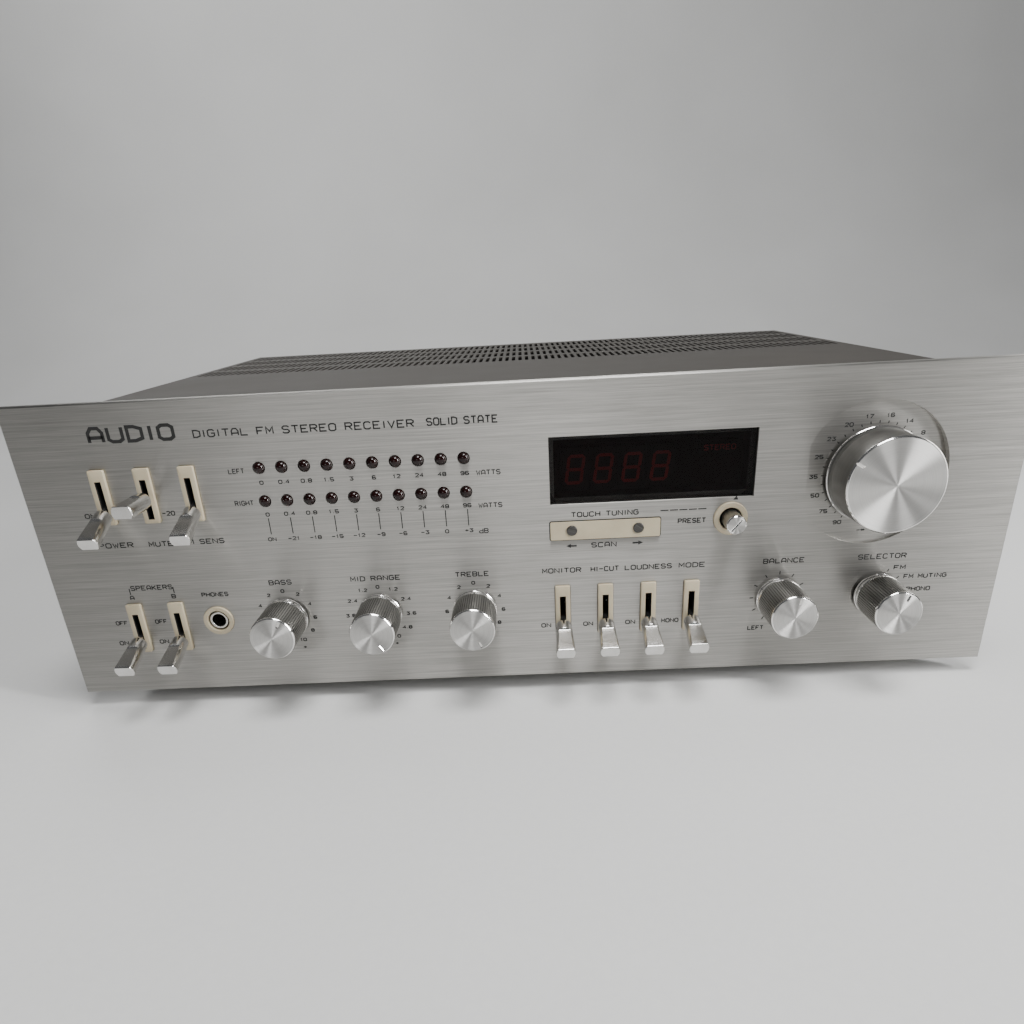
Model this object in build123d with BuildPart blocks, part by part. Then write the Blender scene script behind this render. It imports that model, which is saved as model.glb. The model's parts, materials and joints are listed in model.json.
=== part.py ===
"""FM stereo receiver: aluminium fascia, steel case, bat-lever switches and knobs.

Millimetres.  +Z up, the feet stand on Z = 0, the controls face -Y.
Panel positions are written as (x, z), with z counted up from the fascia's lower edge.
"""
import os

from build123d import *

os.makedirs("parts", exist_ok=True)

# ---- overall sizes ----
PANEL_W = 440.0          # fascia width
PANEL_H = 140.0          # fascia height
PANEL_T = 4.0            # fascia thickness
PANEL_Z = 8.0            # fascia lower edge above the table
FRONT_Y = -130.0         # fascia front face
CASE_W = 400.0           # outside width of the cover
CASE_TOP = 135.4         # cover top, from the fascia's lower edge
CASE_BASE = 4.0          # underside of the chassis tray
CASE_REAR = 274.0        # cover rear edge behind the fascia face
COVER_T = 1.0
SHEET_T = 1.2            # chassis, sub-panel and rear panel sheet
SUB_Y = PANEL_T          # front face of the sub-panel
INNER_Y = SUB_Y + SHEET_T
REAR_Y = 272.0           # front face of the rear panel
TRAY_W = 397.6

# ---- ventilation slots in the cover ----
SLOT_L = 24.0
SLOT_W = 2.1
SLOT_PITCH = 4.0
SLOT_COLUMNS = 97
SLOT_ROWS = 4
SLOT_ROW_PITCH = 33.0
SLOT_FIRST_Y = 154.0

# ---- lever switches ----
BEZEL_W = 7.0
BEZEL_H = 25.0
BEZEL_PROUD = 1.5
BEZEL_GAP = 0.3
LEVER_SLOT_W = 2.8
LEVER_SLOT_H = 18.0
LEVER_SLOT_DROP = 1.6    # slot centre below the bezel centre
PIVOT_DEPTH = 12.0
PIVOT_DROP = 1.0         # pivot below the bezel centre
LEVER_LENGTH = 35.5
LEVER_NECK = 16.45       # pivot to the start of the bat handle
LEVER_FLAT = 22.5        # pivot to the step where the flats begin
LEVER_FLAT_HALF = 3.06   # half the thickness at the step
LEVER_BASE_R = 3.75
LEVER_TIP_R = 4.5
LEVER_TIP_HALF = 2.85    # half the thickness of the flattened tip
BLADE_W = 2.2
BLADE_H = 3.6
PIN_R = 1.0
UPPER_Z = 99.0
LOWER_Z = 34.6
UPPER_ANGLE = 23.5
LOWER_ANGLE = 18.5
POWER_X = -184.0
MUTE_X = -164.0
SENS_X = -144.0
SPEAKER_A_X = -184.0
SPEAKER_B_X = -164.0
MONITOR_X = 19.5
HI_CUT_X = 39.5
LOUDNESS_X = 59.5
MODE_X = 79.5
LEVER_SPOTS = [
    (POWER_X, UPPER_Z),
    (MUTE_X, UPPER_Z),
    (SENS_X, UPPER_Z),
    (SPEAKER_A_X, LOWER_Z),
    (SPEAKER_B_X, LOWER_Z),
    (MONITOR_X, LOWER_Z),
    (HI_CUT_X, LOWER_Z),
    (LOUDNESS_X, LOWER_Z),
    (MODE_X, LOWER_Z),
]

# ---- rotary controls ----
KNOB_R = 10.4
KNOB_FACE = 24.0         # knob face in front of the fascia
KNOB_BASE = 1.5          # gap between fascia and knob
KNOB_GROOVES = 60
SHAFT_R = 3.0
SHAFT_RUN = 0.05         # running clearance of the shafts
BUSH_R = 4.5
NUT_R = 6.5              # half the width across the flats
POT_R = 12.0
BASS = (-112.0, 37.0)
MID_RANGE = (-67.0, 37.0)
TREBLE = (-22.0, 37.0)
BALANCE = (120.0, 36.6)
SELECTOR = (165.0, 36.6)
VOLUME = (156.2, 93.5)
VOLUME_R = 20.5
VOLUME_SKIRT_R = 21.2
VOLUME_FACE = 21.4
RECESS_R = 32.0
RECESS_EDGE_X = 127.5    # the tilted floor meets the fascia face here
RECESS_DEPTH = 3.0

# ---- preset trimmer ----
PRESET = (95.3, 76.2)
PRESET_RING_R = 7.6
PRESET_HOLE_R = 5.0
PRESET_KNOB_R = 4.3
PRESET_FACE = 11.0
PRESET_SHAFT_R = 2.0

# ---- power meter lamps ----
LED_R = 2.5
LED_HOLE_R = 2.75
LED_PITCH = 10.0
LED_COLUMNS = 10
LED_CENTRE = (-67.0, 101.5)
LED_ROW_PITCH = 15.0
LED_PROUD = 2.0
LED_BOARD_Y = 8.0

# ---- display and touch plate ----
WINDOW = (59.9, 101.0)
WINDOW_W = 89.8
WINDOW_H = 30.0
DIGITS = (45.6, 100.0)
DIGIT_PITCH = 12.6
DIGIT_W = 12.2
DIGIT_H = 19.0
STEREO_LAMP = (90.3, 107.0)
TOUCH = (39.35, 73.8)
TOUCH_W = 49.3
TOUCH_H = 8.4
CONTACTS = [(24.4, 73.9), (54.3, 73.9)]
CONTACT_R = 2.4

# ---- headphone jack ----
JACK = (-145.0, 36.8)
JACK_RING_R = 7.2
JACK_BUSH_R = 4.35
JACK_HOLE_R = 5.05
JACK_BUSH_PROUD = 0.2
JACK_BORE_R = 3.2
JACK_DEPTH = 32.0

# ---- feet and fasteners ----
FOOT_X = 165.0
FOOT_FRONT = 40.0
FOOT_BACK = 225.0
FOOT_R = 14.0
SIDE_SCREW_Z = 12.0
SIDE_SCREW_YS = [55.0, 135.0, 215.0]
STUD_SPOTS = [(-193.0, 66.0), (-128.0, 66.0), (0.0, 118.0), (0.0, 30.0), (112.0, 66.0), (193.0, 66.0)]


def face_plane(depth):
    """Plane parallel to the fascia, `depth` mm behind its front face, normal to the user."""
    return Plane(origin=(0, FRONT_Y + depth, PANEL_Z), x_dir=(1, 0, 0), z_dir=(0, -1, 0))


def floor_plane(height):
    """Horizontal plane `height` mm above the fascia's lower edge, y counted from the fascia."""
    return Plane(origin=(0, FRONT_Y, PANEL_Z + height), x_dir=(1, 0, 0), z_dir=(0, 0, 1))


def lever_place(x, bezel_z, drop_angle):
    """Location of a lever: origin on its pivot, local Z along the handle towards the tip."""
    pivot = (x, FRONT_Y + PIVOT_DEPTH, PANEL_Z + bezel_z - PIVOT_DROP)
    return Location(pivot, (90 + drop_angle, 0, 0))


# ================= fascia =================

# wedge that carves the tilted floor of the volume recess
with BuildPart() as recess_cutter:
    with BuildSketch(floor_plane(VOLUME[1] - RECESS_R - 1)):
        Polygon(
            (RECESS_EDGE_X, 0),
            (VOLUME[0] + RECESS_R + 1, RECESS_DEPTH),
            (VOLUME[0] + RECESS_R + 1, -2),
            (RECESS_EDGE_X, -2),
            align=None,
        )
    extrude(amount=2 * RECESS_R + 2)
    with BuildSketch(face_plane(PANEL_T)):
        with Locations(VOLUME):
            Circle(RECESS_R)
    extrude(amount=PANEL_T + 3, mode=Mode.INTERSECT)

# brushed aluminium fascia with every control opening
with BuildPart() as front_panel:
    with BuildSketch(face_plane(PANEL_T)):
        with Locations((0, PANEL_H / 2)):
            Rectangle(PANEL_W, PANEL_H)
    extrude(amount=PANEL_T)
    chamfer(front_panel.faces().sort_by(Axis.Y)[0].edges(), 0.6)
    with BuildSketch(face_plane(PANEL_T)):
        with Locations(LEVER_SPOTS):
            RectangleRounded(BEZEL_W + 2 * BEZEL_GAP, BEZEL_H + 2 * BEZEL_GAP, 1.1)
        with Locations(LED_CENTRE):
            with GridLocations(LED_PITCH, LED_ROW_PITCH, LED_COLUMNS, 2):
                Circle(LED_HOLE_R)
        with Locations(BASS, MID_RANGE, TREBLE, BALANCE, SELECTOR, VOLUME):
            Circle(8.0)
        with Locations(WINDOW):
            Rectangle(WINDOW_W + 0.2, WINDOW_H + 0.2)
        with Locations(TOUCH):
            RectangleRounded(TOUCH_W + 0.6, TOUCH_H + 0.6, 0.8)
        with Locations(PRESET):
            Circle(PRESET_RING_R + 0.1)
        with Locations(JACK):
            Circle(JACK_RING_R + 0.1)
    extrude(amount=PANEL_T + 1, mode=Mode.SUBTRACT)
    add(recess_cutter.part, mode=Mode.SUBTRACT)
front_panel.part.label = "front_panel"
export_step(front_panel.part, "parts/front_panel.step")

# steel sub-panel that carries the switches and controls
with BuildPart() as sub_panel:
    with BuildSketch(face_plane(INNER_Y)):
        with Locations((0, (CASE_BASE + CASE_TOP - COVER_T) / 2)):
            RectangleRounded(TRAY_W, CASE_TOP - COVER_T - CASE_BASE - 0.4, 2.0)
    extrude(amount=SHEET_T)
    with BuildSketch(face_plane(INNER_Y)):
        with Locations(*[(x, z - PIVOT_DROP) for x, z in LEVER_SPOTS]):
            SlotOverall(17, 4.6, rotation=90)
        with Locations(BASS, MID_RANGE, TREBLE, BALANCE, SELECTOR, VOLUME):
            Circle(BUSH_R + 0.1)
        with Locations(LED_CENTRE):
            Rectangle(LED_PITCH * 9 + 8, LED_ROW_PITCH + 8)
        with Locations(WINDOW):
            Rectangle(WINDOW_W - 4, WINDOW_H - 4)
        with Locations(*CONTACTS):
            Circle(1.6)
        with Locations(PRESET):
            Circle(PRESET_HOLE_R)
        with Locations(JACK):
            Circle(JACK_BUSH_R + 0.1)
        with Locations(*STUD_SPOTS):
            Circle(1.6)
    extrude(amount=SHEET_T, mode=Mode.SUBTRACT)
sub_panel.part.label = "sub_panel"
export_step(sub_panel.part, "parts/sub_panel.step")

# studs pressed in the back of the fascia, with the nuts that clamp the sub-panel
with BuildPart() as panel_fasteners:
    with BuildSketch(face_plane(PANEL_T + 6)):
        with Locations(*STUD_SPOTS):
            Circle(1.5)
    extrude(amount=6)
    with BuildSketch(face_plane(INNER_Y + 2.4)):
        with Locations(*STUD_SPOTS):
            RegularPolygon(2.75, 6, major_radius=False)
            Circle(1.55, mode=Mode.SUBTRACT)
    extrude(amount=2.4)
panel_fasteners.part.label = "panel_fasteners"
export_step(panel_fasteners.part, "parts/panel_fasteners.step")

# ================= lever switches =================

# moulded cream bezels, one round each lever slot
with BuildPart() as switch_bezels:
    with BuildSketch(face_plane(PANEL_T)):
        with Locations(LEVER_SPOTS):
            RectangleRounded(BEZEL_W, BEZEL_H, 0.9)
    extrude(amount=PANEL_T + BEZEL_PROUD)
    chamfer(switch_bezels.faces().filter_by(Axis.Y).group_by(Axis.Y)[0].edges(), 0.3)
    with BuildSketch(face_plane(PANEL_T)):
        with Locations(*[(x, z - LEVER_SLOT_DROP) for x, z in LEVER_SPOTS]):
            Rectangle(LEVER_SLOT_W, LEVER_SLOT_H)
    extrude(amount=PANEL_T + BEZEL_PROUD, mode=Mode.SUBTRACT)
switch_bezels.part.label = "switch_bezels"
export_step(switch_bezels.part, "parts/switch_bezels.step")

# one bat lever: hub on the pin, flat blade, round handle flattened towards the tip
with BuildPart() as lever_shape:
    with Locations((0, 0, LEVER_NECK)):
        Cone(
            LEVER_BASE_R,
            LEVER_TIP_R,
            LEVER_LENGTH - LEVER_NECK,
            align=(Align.CENTER, Align.CENTER, Align.MIN),
        )
    fillet(lever_shape.edges().filter_by(GeomType.CIRCLE).sort_by(Axis.Z)[0], 0.5)
    with BuildSketch(Plane.YZ):
        with BuildLine():
            Polyline(
                (LEVER_FLAT_HALF, LEVER_FLAT + 0.5),
                (LEVER_TIP_HALF, LEVER_LENGTH),
                (6, LEVER_LENGTH + 1),
                (6, LEVER_FLAT),
                (LEVER_BASE_R + 0.1, LEVER_FLAT),
                close=True,
            )
        make_face()
        mirror(about=Plane.YZ)
    extrude(amount=6, both=True, mode=Mode.SUBTRACT)
    chamfer(lever_shape.faces().sort_by(Axis.Z)[-1].edges(), 0.3)
    with Locations((0, 0, (LEVER_NECK + 2) / 2)):
        Box(BLADE_W, BLADE_H, LEVER_NECK + 2)
    Cylinder(2.6, 6, rotation=(0, 90, 0))
    Cylinder(PIN_R + SHAFT_RUN, 8, rotation=(0, 90, 0), mode=Mode.SUBTRACT)

with BuildPart() as power_lever:
    with Locations(lever_place(POWER_X, UPPER_Z, UPPER_ANGLE)):
        add(lever_shape.part)
power_lever.part.label = "power_lever"
export_step(power_lever.part, "parts/power_lever.step")

with BuildPart() as mute_lever:
    with Locations(lever_place(MUTE_X, UPPER_Z, 0)):
        add(lever_shape.part)
mute_lever.part.label = "mute_lever"
export_step(mute_lever.part, "parts/mute_lever.step")

with BuildPart() as sens_lever:
    with Locations(lever_place(SENS_X, UPPER_Z, UPPER_ANGLE)):
        add(lever_shape.part)
sens_lever.part.label = "sens_lever"
export_step(sens_lever.part, "parts/sens_lever.step")

with BuildPart() as speaker_a_lever:
    with Locations(lever_place(SPEAKER_A_X, LOWER_Z, LOWER_ANGLE)):
        add(lever_shape.part)
speaker_a_lever.part.label = "speaker_a_lever"
export_step(speaker_a_lever.part, "parts/speaker_a_lever.step")

with BuildPart() as speaker_b_lever:
    with Locations(lever_place(SPEAKER_B_X, LOWER_Z, LOWER_ANGLE)):
        add(lever_shape.part)
speaker_b_lever.part.label = "speaker_b_lever"
export_step(speaker_b_lever.part, "parts/speaker_b_lever.step")

with BuildPart() as monitor_lever:
    with Locations(lever_place(MONITOR_X, LOWER_Z, LOWER_ANGLE)):
        add(lever_shape.part)
monitor_lever.part.label = "monitor_lever"
export_step(monitor_lever.part, "parts/monitor_lever.step")

with BuildPart() as hi_cut_lever:
    with Locations(lever_place(HI_CUT_X, LOWER_Z, LOWER_ANGLE)):
        add(lever_shape.part)
hi_cut_lever.part.label = "hi_cut_lever"
export_step(hi_cut_lever.part, "parts/hi_cut_lever.step")

with BuildPart() as loudness_lever:
    with Locations(lever_place(LOUDNESS_X, LOWER_Z, LOWER_ANGLE)):
        add(lever_shape.part)
loudness_lever.part.label = "loudness_lever"
export_step(loudness_lever.part, "parts/loudness_lever.step")

with BuildPart() as mode_lever:
    with Locations(lever_place(MODE_X, LOWER_Z, LOWER_ANGLE)):
        add(lever_shape.part)
mode_lever.part.label = "mode_lever"
export_step(mode_lever.part, "parts/mode_lever.step")

# phenolic switch bodies behind the sub-panel, open at the front for the lever hub
with BuildPart() as switch_bodies:
    with BuildSketch(face_plane(36)):
        with Locations(*[(x, z - PIVOT_DROP) for x, z in LEVER_SPOTS]):
            Rectangle(12, 26)
    extrude(amount=36 - INNER_Y)
    with BuildSketch(face_plane(17)):
        with Locations(*[(x, z - PIVOT_DROP) for x, z in LEVER_SPOTS]):
            Rectangle(6.8, 20)
    extrude(amount=17 - INNER_Y, mode=Mode.SUBTRACT)
    for lever_x, lever_z in LEVER_SPOTS:
        with Locations((lever_x, FRONT_Y + PIVOT_DEPTH, PANEL_Z + lever_z - PIVOT_DROP)):
            Cylinder(PIN_R, 14, rotation=(0, 90, 0), mode=Mode.SUBTRACT)
switch_bodies.part.label = "switch_bodies"
export_step(switch_bodies.part, "parts/switch_bodies.step")

# pivot pins riveted across the switch bodies
with BuildPart() as switch_pins:
    for lever_x, lever_z in LEVER_SPOTS:
        with Locations((lever_x, FRONT_Y + PIVOT_DEPTH, PANEL_Z + lever_z - PIVOT_DROP)):
            Cylinder(PIN_R, 12, rotation=(0, 90, 0))
switch_pins.part.label = "switch_pins"
export_step(switch_pins.part, "parts/switch_pins.step")

# ================= rotary controls =================

# one small control knob: two flange rings, straight knurl, flat spun face
with BuildPart() as knob_shape:
    with BuildSketch(Plane.XY.offset(KNOB_BASE)):
        Circle(KNOB_R)
    extrude(amount=KNOB_FACE - KNOB_BASE)
    chamfer(knob_shape.edges().sort_by(Axis.Z)[-1], 0.5)
    with BuildSketch(Plane.XY.offset(KNOB_BASE + 2.4)):
        with PolarLocations(KNOB_R, KNOB_GROOVES):
            RegularPolygon(0.42, 3)
    extrude(amount=KNOB_FACE - KNOB_BASE - 3.6, mode=Mode.SUBTRACT)
    with BuildSketch(Plane.XY.offset(KNOB_BASE + 1.3)):
        Circle(KNOB_R + 1)
        Circle(KNOB_R - 0.8, mode=Mode.SUBTRACT)
    extrude(amount=0.6, mode=Mode.SUBTRACT)
    with BuildSketch(Plane.XY.offset(KNOB_BASE)):
        Circle(SHAFT_R + 0.02)
    extrude(amount=16, mode=Mode.SUBTRACT)

# its steel shaft, from inside the knob to inside the control body
with BuildPart() as shaft_shape:
    with BuildSketch(Plane.XY.offset(-14)):
        Circle(SHAFT_R)
    extrude(amount=14 + KNOB_BASE + 15.5)
    chamfer(shaft_shape.edges().sort_by(Axis.Z)[-1], 0.4)


def control_place(spot):
    """Location of a rotary control: origin on the fascia face, local Z towards the user."""
    return Location((spot[0], FRONT_Y, PANEL_Z + spot[1]), (90, 0, 0))


with BuildPart() as bass_knob:
    with Locations(control_place(BASS)):
        add(knob_shape.part)
bass_knob.part.label = "bass_knob"
export_step(bass_knob.part, "parts/bass_knob.step")

with BuildPart() as bass_shaft:
    with Locations(control_place(BASS)):
        add(shaft_shape.part)
bass_shaft.part.label = "bass_shaft"
export_step(bass_shaft.part, "parts/bass_shaft.step")

with BuildPart() as mid_knob:
    with Locations(control_place(MID_RANGE)):
        add(knob_shape.part)
mid_knob.part.label = "mid_knob"
export_step(mid_knob.part, "parts/mid_knob.step")

with BuildPart() as mid_shaft:
    with Locations(control_place(MID_RANGE)):
        add(shaft_shape.part)
mid_shaft.part.label = "mid_shaft"
export_step(mid_shaft.part, "parts/mid_shaft.step")

with BuildPart() as treble_knob:
    with Locations(control_place(TREBLE)):
        add(knob_shape.part)
treble_knob.part.label = "treble_knob"
export_step(treble_knob.part, "parts/treble_knob.step")

with BuildPart() as treble_shaft:
    with Locations(control_place(TREBLE)):
        add(shaft_shape.part)
treble_shaft.part.label = "treble_shaft"
export_step(treble_shaft.part, "parts/treble_shaft.step")

with BuildPart() as balance_knob:
    with Locations(control_place(BALANCE)):
        add(knob_shape.part)
balance_knob.part.label = "balance_knob"
export_step(balance_knob.part, "parts/balance_knob.step")

with BuildPart() as balance_shaft:
    with Locations(control_place(BALANCE)):
        add(shaft_shape.part)
balance_shaft.part.label = "balance_shaft"
export_step(balance_shaft.part, "parts/balance_shaft.step")

with BuildPart() as selector_knob:
    with Locations(control_place(SELECTOR)):
        add(knob_shape.part)
selector_knob.part.label = "selector_knob"
export_step(selector_knob.part, "parts/selector_knob.step")

with BuildPart() as selector_shaft:
    with Locations(control_place(SELECTOR)):
        add(shaft_shape.part)
selector_shaft.part.label = "selector_shaft"
export_step(selector_shaft.part, "parts/selector_shaft.step")

# large volume knob: narrow skirt, smooth side, flat face with a pointer notch on its rim
with BuildPart() as volume_knob:
    with BuildSketch(face_plane(-KNOB_BASE)):
        with Locations(VOLUME):
            Circle(VOLUME_SKIRT_R)
    extrude(amount=1.2)
    with BuildSketch(face_plane(-KNOB_BASE)):
        with Locations(VOLUME):
            Circle(VOLUME_R)
    extrude(amount=VOLUME_FACE - KNOB_BASE)
    chamfer(volume_knob.edges().sort_by(Axis.Y)[0], 0.6)
    with BuildSketch(face_plane(-VOLUME_FACE)):
        with Locations(Location((VOLUME[0], VOLUME[1], 0), (0, 0, 60))):
            with Locations((0, VOLUME_R - 2)):
                Rectangle(1.2, 5)
    extrude(amount=-1.0, mode=Mode.SUBTRACT)
    with BuildSketch(face_plane(-KNOB_BASE)):
        with Locations(VOLUME):
            Circle(SHAFT_R + 0.02)
    extrude(amount=14, mode=Mode.SUBTRACT)
volume_knob.part.label = "volume_knob"
export_step(volume_knob.part, "parts/volume_knob.step")

with BuildPart() as volume_shaft:
    with BuildSketch(face_plane(14)):
        with Locations(VOLUME):
            Circle(SHAFT_R)
    extrude(amount=14 + KNOB_BASE + 13.5)
volume_shaft.part.label = "volume_shaft"
export_step(volume_shaft.part, "parts/volume_shaft.step")

# potentiometers: round can, threaded bush, solder tags; the volume one has two cans
with BuildPart() as control_pots:
    with BuildSketch(face_plane(19)):
        with Locations(BASS, MID_RANGE, TREBLE, BALANCE, VOLUME):
            Circle(POT_R)
    extrude(amount=19 - INNER_Y)
    with BuildSketch(face_plane(30)):
        with Locations(VOLUME):
            Circle(POT_R - 1)
    extrude(amount=11)
    with BuildSketch(face_plane(INNER_Y)):
        with Locations(BASS, MID_RANGE, TREBLE, BALANCE, VOLUME):
            Circle(BUSH_R)
    extrude(amount=INNER_Y - 1.0)
    with BuildSketch(face_plane(11)):
        with Locations(BASS, MID_RANGE, TREBLE, BALANCE, VOLUME):
            with Locations((-5, -14), (0, -14), (5, -14)):
                Rectangle(2.2, 8)
    extrude(amount=0.8)
    with BuildSketch(face_plane(14.5)):
        with Locations(BASS, MID_RANGE, TREBLE, BALANCE, VOLUME):
            Circle(SHAFT_R + SHAFT_RUN)
    extrude(amount=15, mode=Mode.SUBTRACT)
control_pots.part.label = "control_pots"
export_step(control_pots.part, "parts/control_pots.step")

# rotary selector switch: index plate, two wafers on spacers
with BuildPart() as selector_switch:
    with BuildSketch(face_plane(16)):
        with Locations(SELECTOR):
            RectangleRounded(30, 26, 3)
    extrude(amount=16 - INNER_Y)
    with BuildSketch(face_plane(22)):
        with Locations(SELECTOR):
            with Locations((-12, 0), (12, 0)):
                Circle(1.8)
    extrude(amount=6)
    with BuildSketch(face_plane(24)):
        with Locations(SELECTOR):
            Circle(16)
    extrude(amount=2)
    with BuildSketch(face_plane(INNER_Y)):
        with Locations(SELECTOR):
            Circle(BUSH_R)
    extrude(amount=INNER_Y - 1.0)
    with BuildSketch(face_plane(14.5)):
        with Locations(SELECTOR):
            Circle(SHAFT_R + SHAFT_RUN)
    extrude(amount=15, mode=Mode.SUBTRACT)
selector_switch.part.label = "selector_switch"
export_step(selector_switch.part, "parts/selector_switch.step")

# hexagon nuts that clamp the control bushes to the sub-panel
with BuildPart() as pot_nuts:
    with BuildSketch(face_plane(SUB_Y)):
        with Locations(BASS, MID_RANGE, TREBLE, BALANCE, SELECTOR, VOLUME):
            RegularPolygon(NUT_R, 6, major_radius=False)
            Circle(BUSH_R + 0.02, mode=Mode.SUBTRACT)
    extrude(amount=1.8)
pot_nuts.part.label = "pot_nuts"
export_step(pot_nuts.part, "parts/pot_nuts.step")

# ================= preset trimmer =================

with BuildPart() as preset_knob:
    with BuildSketch(face_plane(3)):
        with Locations(PRESET):
            Circle(PRESET_KNOB_R)
    extrude(amount=3 + PRESET_FACE)
    chamfer(preset_knob.edges().sort_by(Axis.Y)[0], 0.4)
    with BuildSketch(face_plane(3)):
        with Locations(PRESET):
            Circle(PRESET_SHAFT_R + 0.02)
    extrude(amount=9, mode=Mode.SUBTRACT)
preset_knob.part.label = "preset_knob"
export_step(preset_knob.part, "parts/preset_knob.step")

with BuildPart() as preset_shaft:
    with BuildSketch(face_plane(12)):
        with Locations(PRESET):
            Circle(PRESET_SHAFT_R)
    extrude(amount=12 + 5.5)
preset_shaft.part.label = "preset_shaft"
export_step(preset_shaft.part, "parts/preset_shaft.step")

with BuildPart() as preset_pot:
    with BuildSketch(face_plane(16)):
        with Locations(PRESET):
            RectangleRounded(16, 16, 2)
    extrude(amount=16 - INNER_Y)
    with BuildSketch(face_plane(12.5)):
        with Locations(PRESET):
            Circle(PRESET_SHAFT_R + SHAFT_RUN)
    extrude(amount=12, mode=Mode.SUBTRACT)
preset_pot.part.label = "preset_pot"
export_step(preset_pot.part, "parts/preset_pot.step")

# ================= power meter =================

# red 5 mm lamps, domed end through the fascia
with BuildPart() as led_lamps:
    with BuildSketch(face_plane(LED_BOARD_Y)):
        with Locations(LED_CENTRE):
            with GridLocations(LED_PITCH, LED_ROW_PITCH, LED_COLUMNS, 2):
                Circle(LED_R)
    extrude(amount=LED_BOARD_Y + LED_PROUD)
    fillet(led_lamps.edges().filter_by(GeomType.CIRCLE).group_by(Axis.Y)[0], LED_R - 0.1)
led_lamps.part.label = "led_lamps"
export_step(led_lamps.part, "parts/led_lamps.step")

with BuildPart() as led_board:
    with BuildSketch(face_plane(LED_BOARD_Y + 1.6)):
        with Locations(LED_CENTRE):
            Rectangle(112, 32)
    extrude(amount=1.6)
    with BuildSketch(face_plane(LED_BOARD_Y)):
        with Locations(LED_CENTRE):
            with GridLocations(104, 26, 2, 2):
                Circle(2.0)
    extrude(amount=LED_BOARD_Y - INNER_Y)
led_board.part.label = "led_board"
export_step(led_board.part, "parts/led_board.step")

# ================= display =================

# smoked acrylic window let into the fascia
with BuildPart() as display_window:
    with BuildSketch(face_plane(PANEL_T)):
        with Locations(WINDOW):
            Rectangle(WINDOW_W, WINDOW_H)
    extrude(amount=PANEL_T - 1.0)
display_window.part.label = "display_window"
export_step(display_window.part, "parts/display_window.step")

# black moulded tunnel between the window and the digits
with BuildPart() as display_housing:
    with BuildSketch(face_plane(20)):
        with Locations(WINDOW):
            Rectangle(WINDOW_W + 4, WINDOW_H + 3)
            Rectangle(WINDOW_W - 4, WINDOW_H - 4, mode=Mode.SUBTRACT)
    extrude(amount=20 - INNER_Y)
display_housing.part.label = "display_housing"
export_step(display_housing.part, "parts/display_housing.step")

# four seven-segment digit modules and the lamp box behind the stereo legend
with BuildPart() as digit_modules:
    with BuildSketch(face_plane(14)):
        with Locations(DIGITS):
            with GridLocations(DIGIT_PITCH, 1, 4, 1):
                Rectangle(DIGIT_W, DIGIT_H)
        with Locations(STEREO_LAMP):
            Rectangle(17, 6)
    extrude(amount=14 - 6.5)
digit_modules.part.label = "digit_modules"
export_step(digit_modules.part, "parts/digit_modules.step")

with BuildPart() as display_board:
    with BuildSketch(face_plane(15.6)):
        with Locations(WINDOW):
            Rectangle(WINDOW_W - 4.4, WINDOW_H - 4.4)
    extrude(amount=1.6)
display_board.part.label = "display_board"
export_step(display_board.part, "parts/display_board.step")

# ================= touch tuning plate =================

with BuildPart() as touch_plate:
    with BuildSketch(face_plane(PANEL_T)):
        with Locations(TOUCH):
            RectangleRounded(TOUCH_W, TOUCH_H, 0.6)
        with Locations(*CONTACTS):
            Circle(CONTACT_R + 0.05, mode=Mode.SUBTRACT)
    extrude(amount=PANEL_T + 0.8)
touch_plate.part.label = "touch_plate"
export_step(touch_plate.part, "parts/touch_plate.step")

with BuildPart() as touch_contacts:
    with BuildSketch(face_plane(PANEL_T)):
        with Locations(*CONTACTS):
            Circle(CONTACT_R)
    extrude(amount=PANEL_T + 1.3)
    fillet(touch_contacts.edges().filter_by(GeomType.CIRCLE).group_by(Axis.Y)[0], 0.4)
    with BuildSketch(face_plane(12)):
        with Locations(*CONTACTS):
            Circle(1.2)
    extrude(amount=8)
touch_contacts.part.label = "touch_contacts"
export_step(touch_contacts.part, "parts/touch_contacts.step")

# ================= headphone jack =================

# cream rings let into the fascia round the jack and the preset trimmer
with BuildPart() as bezel_rings:
    with BuildSketch(face_plane(PANEL_T)):
        with Locations(JACK):
            Circle(JACK_RING_R)
            Circle(JACK_HOLE_R, mode=Mode.SUBTRACT)
        with Locations(PRESET):
            Circle(PRESET_RING_R)
            Circle(PRESET_HOLE_R, mode=Mode.SUBTRACT)
    extrude(amount=PANEL_T + 1.0)
    chamfer(bezel_rings.edges().filter_by(GeomType.CIRCLE).group_by(Axis.Y)[0], 0.3)
bezel_rings.part.label = "bezel_rings"
export_step(bezel_rings.part, "parts/bezel_rings.step")

with BuildPart() as headphone_jack:
    with BuildSketch(face_plane(INNER_Y)):
        with Locations(JACK):
            Circle(JACK_BUSH_R)
    extrude(amount=INNER_Y + JACK_BUSH_PROUD)
    with BuildSketch(face_plane(JACK_DEPTH + 3)):
        with Locations(JACK):
            Rectangle(16, 18)
    extrude(amount=JACK_DEPTH + 3 - INNER_Y)
    with BuildSketch(face_plane(JACK_DEPTH)):
        with Locations(JACK):
            Circle(JACK_BORE_R)
    extrude(amount=JACK_DEPTH + 4, mode=Mode.SUBTRACT)
    fillet(headphone_jack.edges().filter_by(GeomType.CIRCLE).group_by(Axis.Y)[0], 0.4)
headphone_jack.part.label = "headphone_jack"
export_step(headphone_jack.part, "parts/headphone_jack.step")

# ================= case =================

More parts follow.
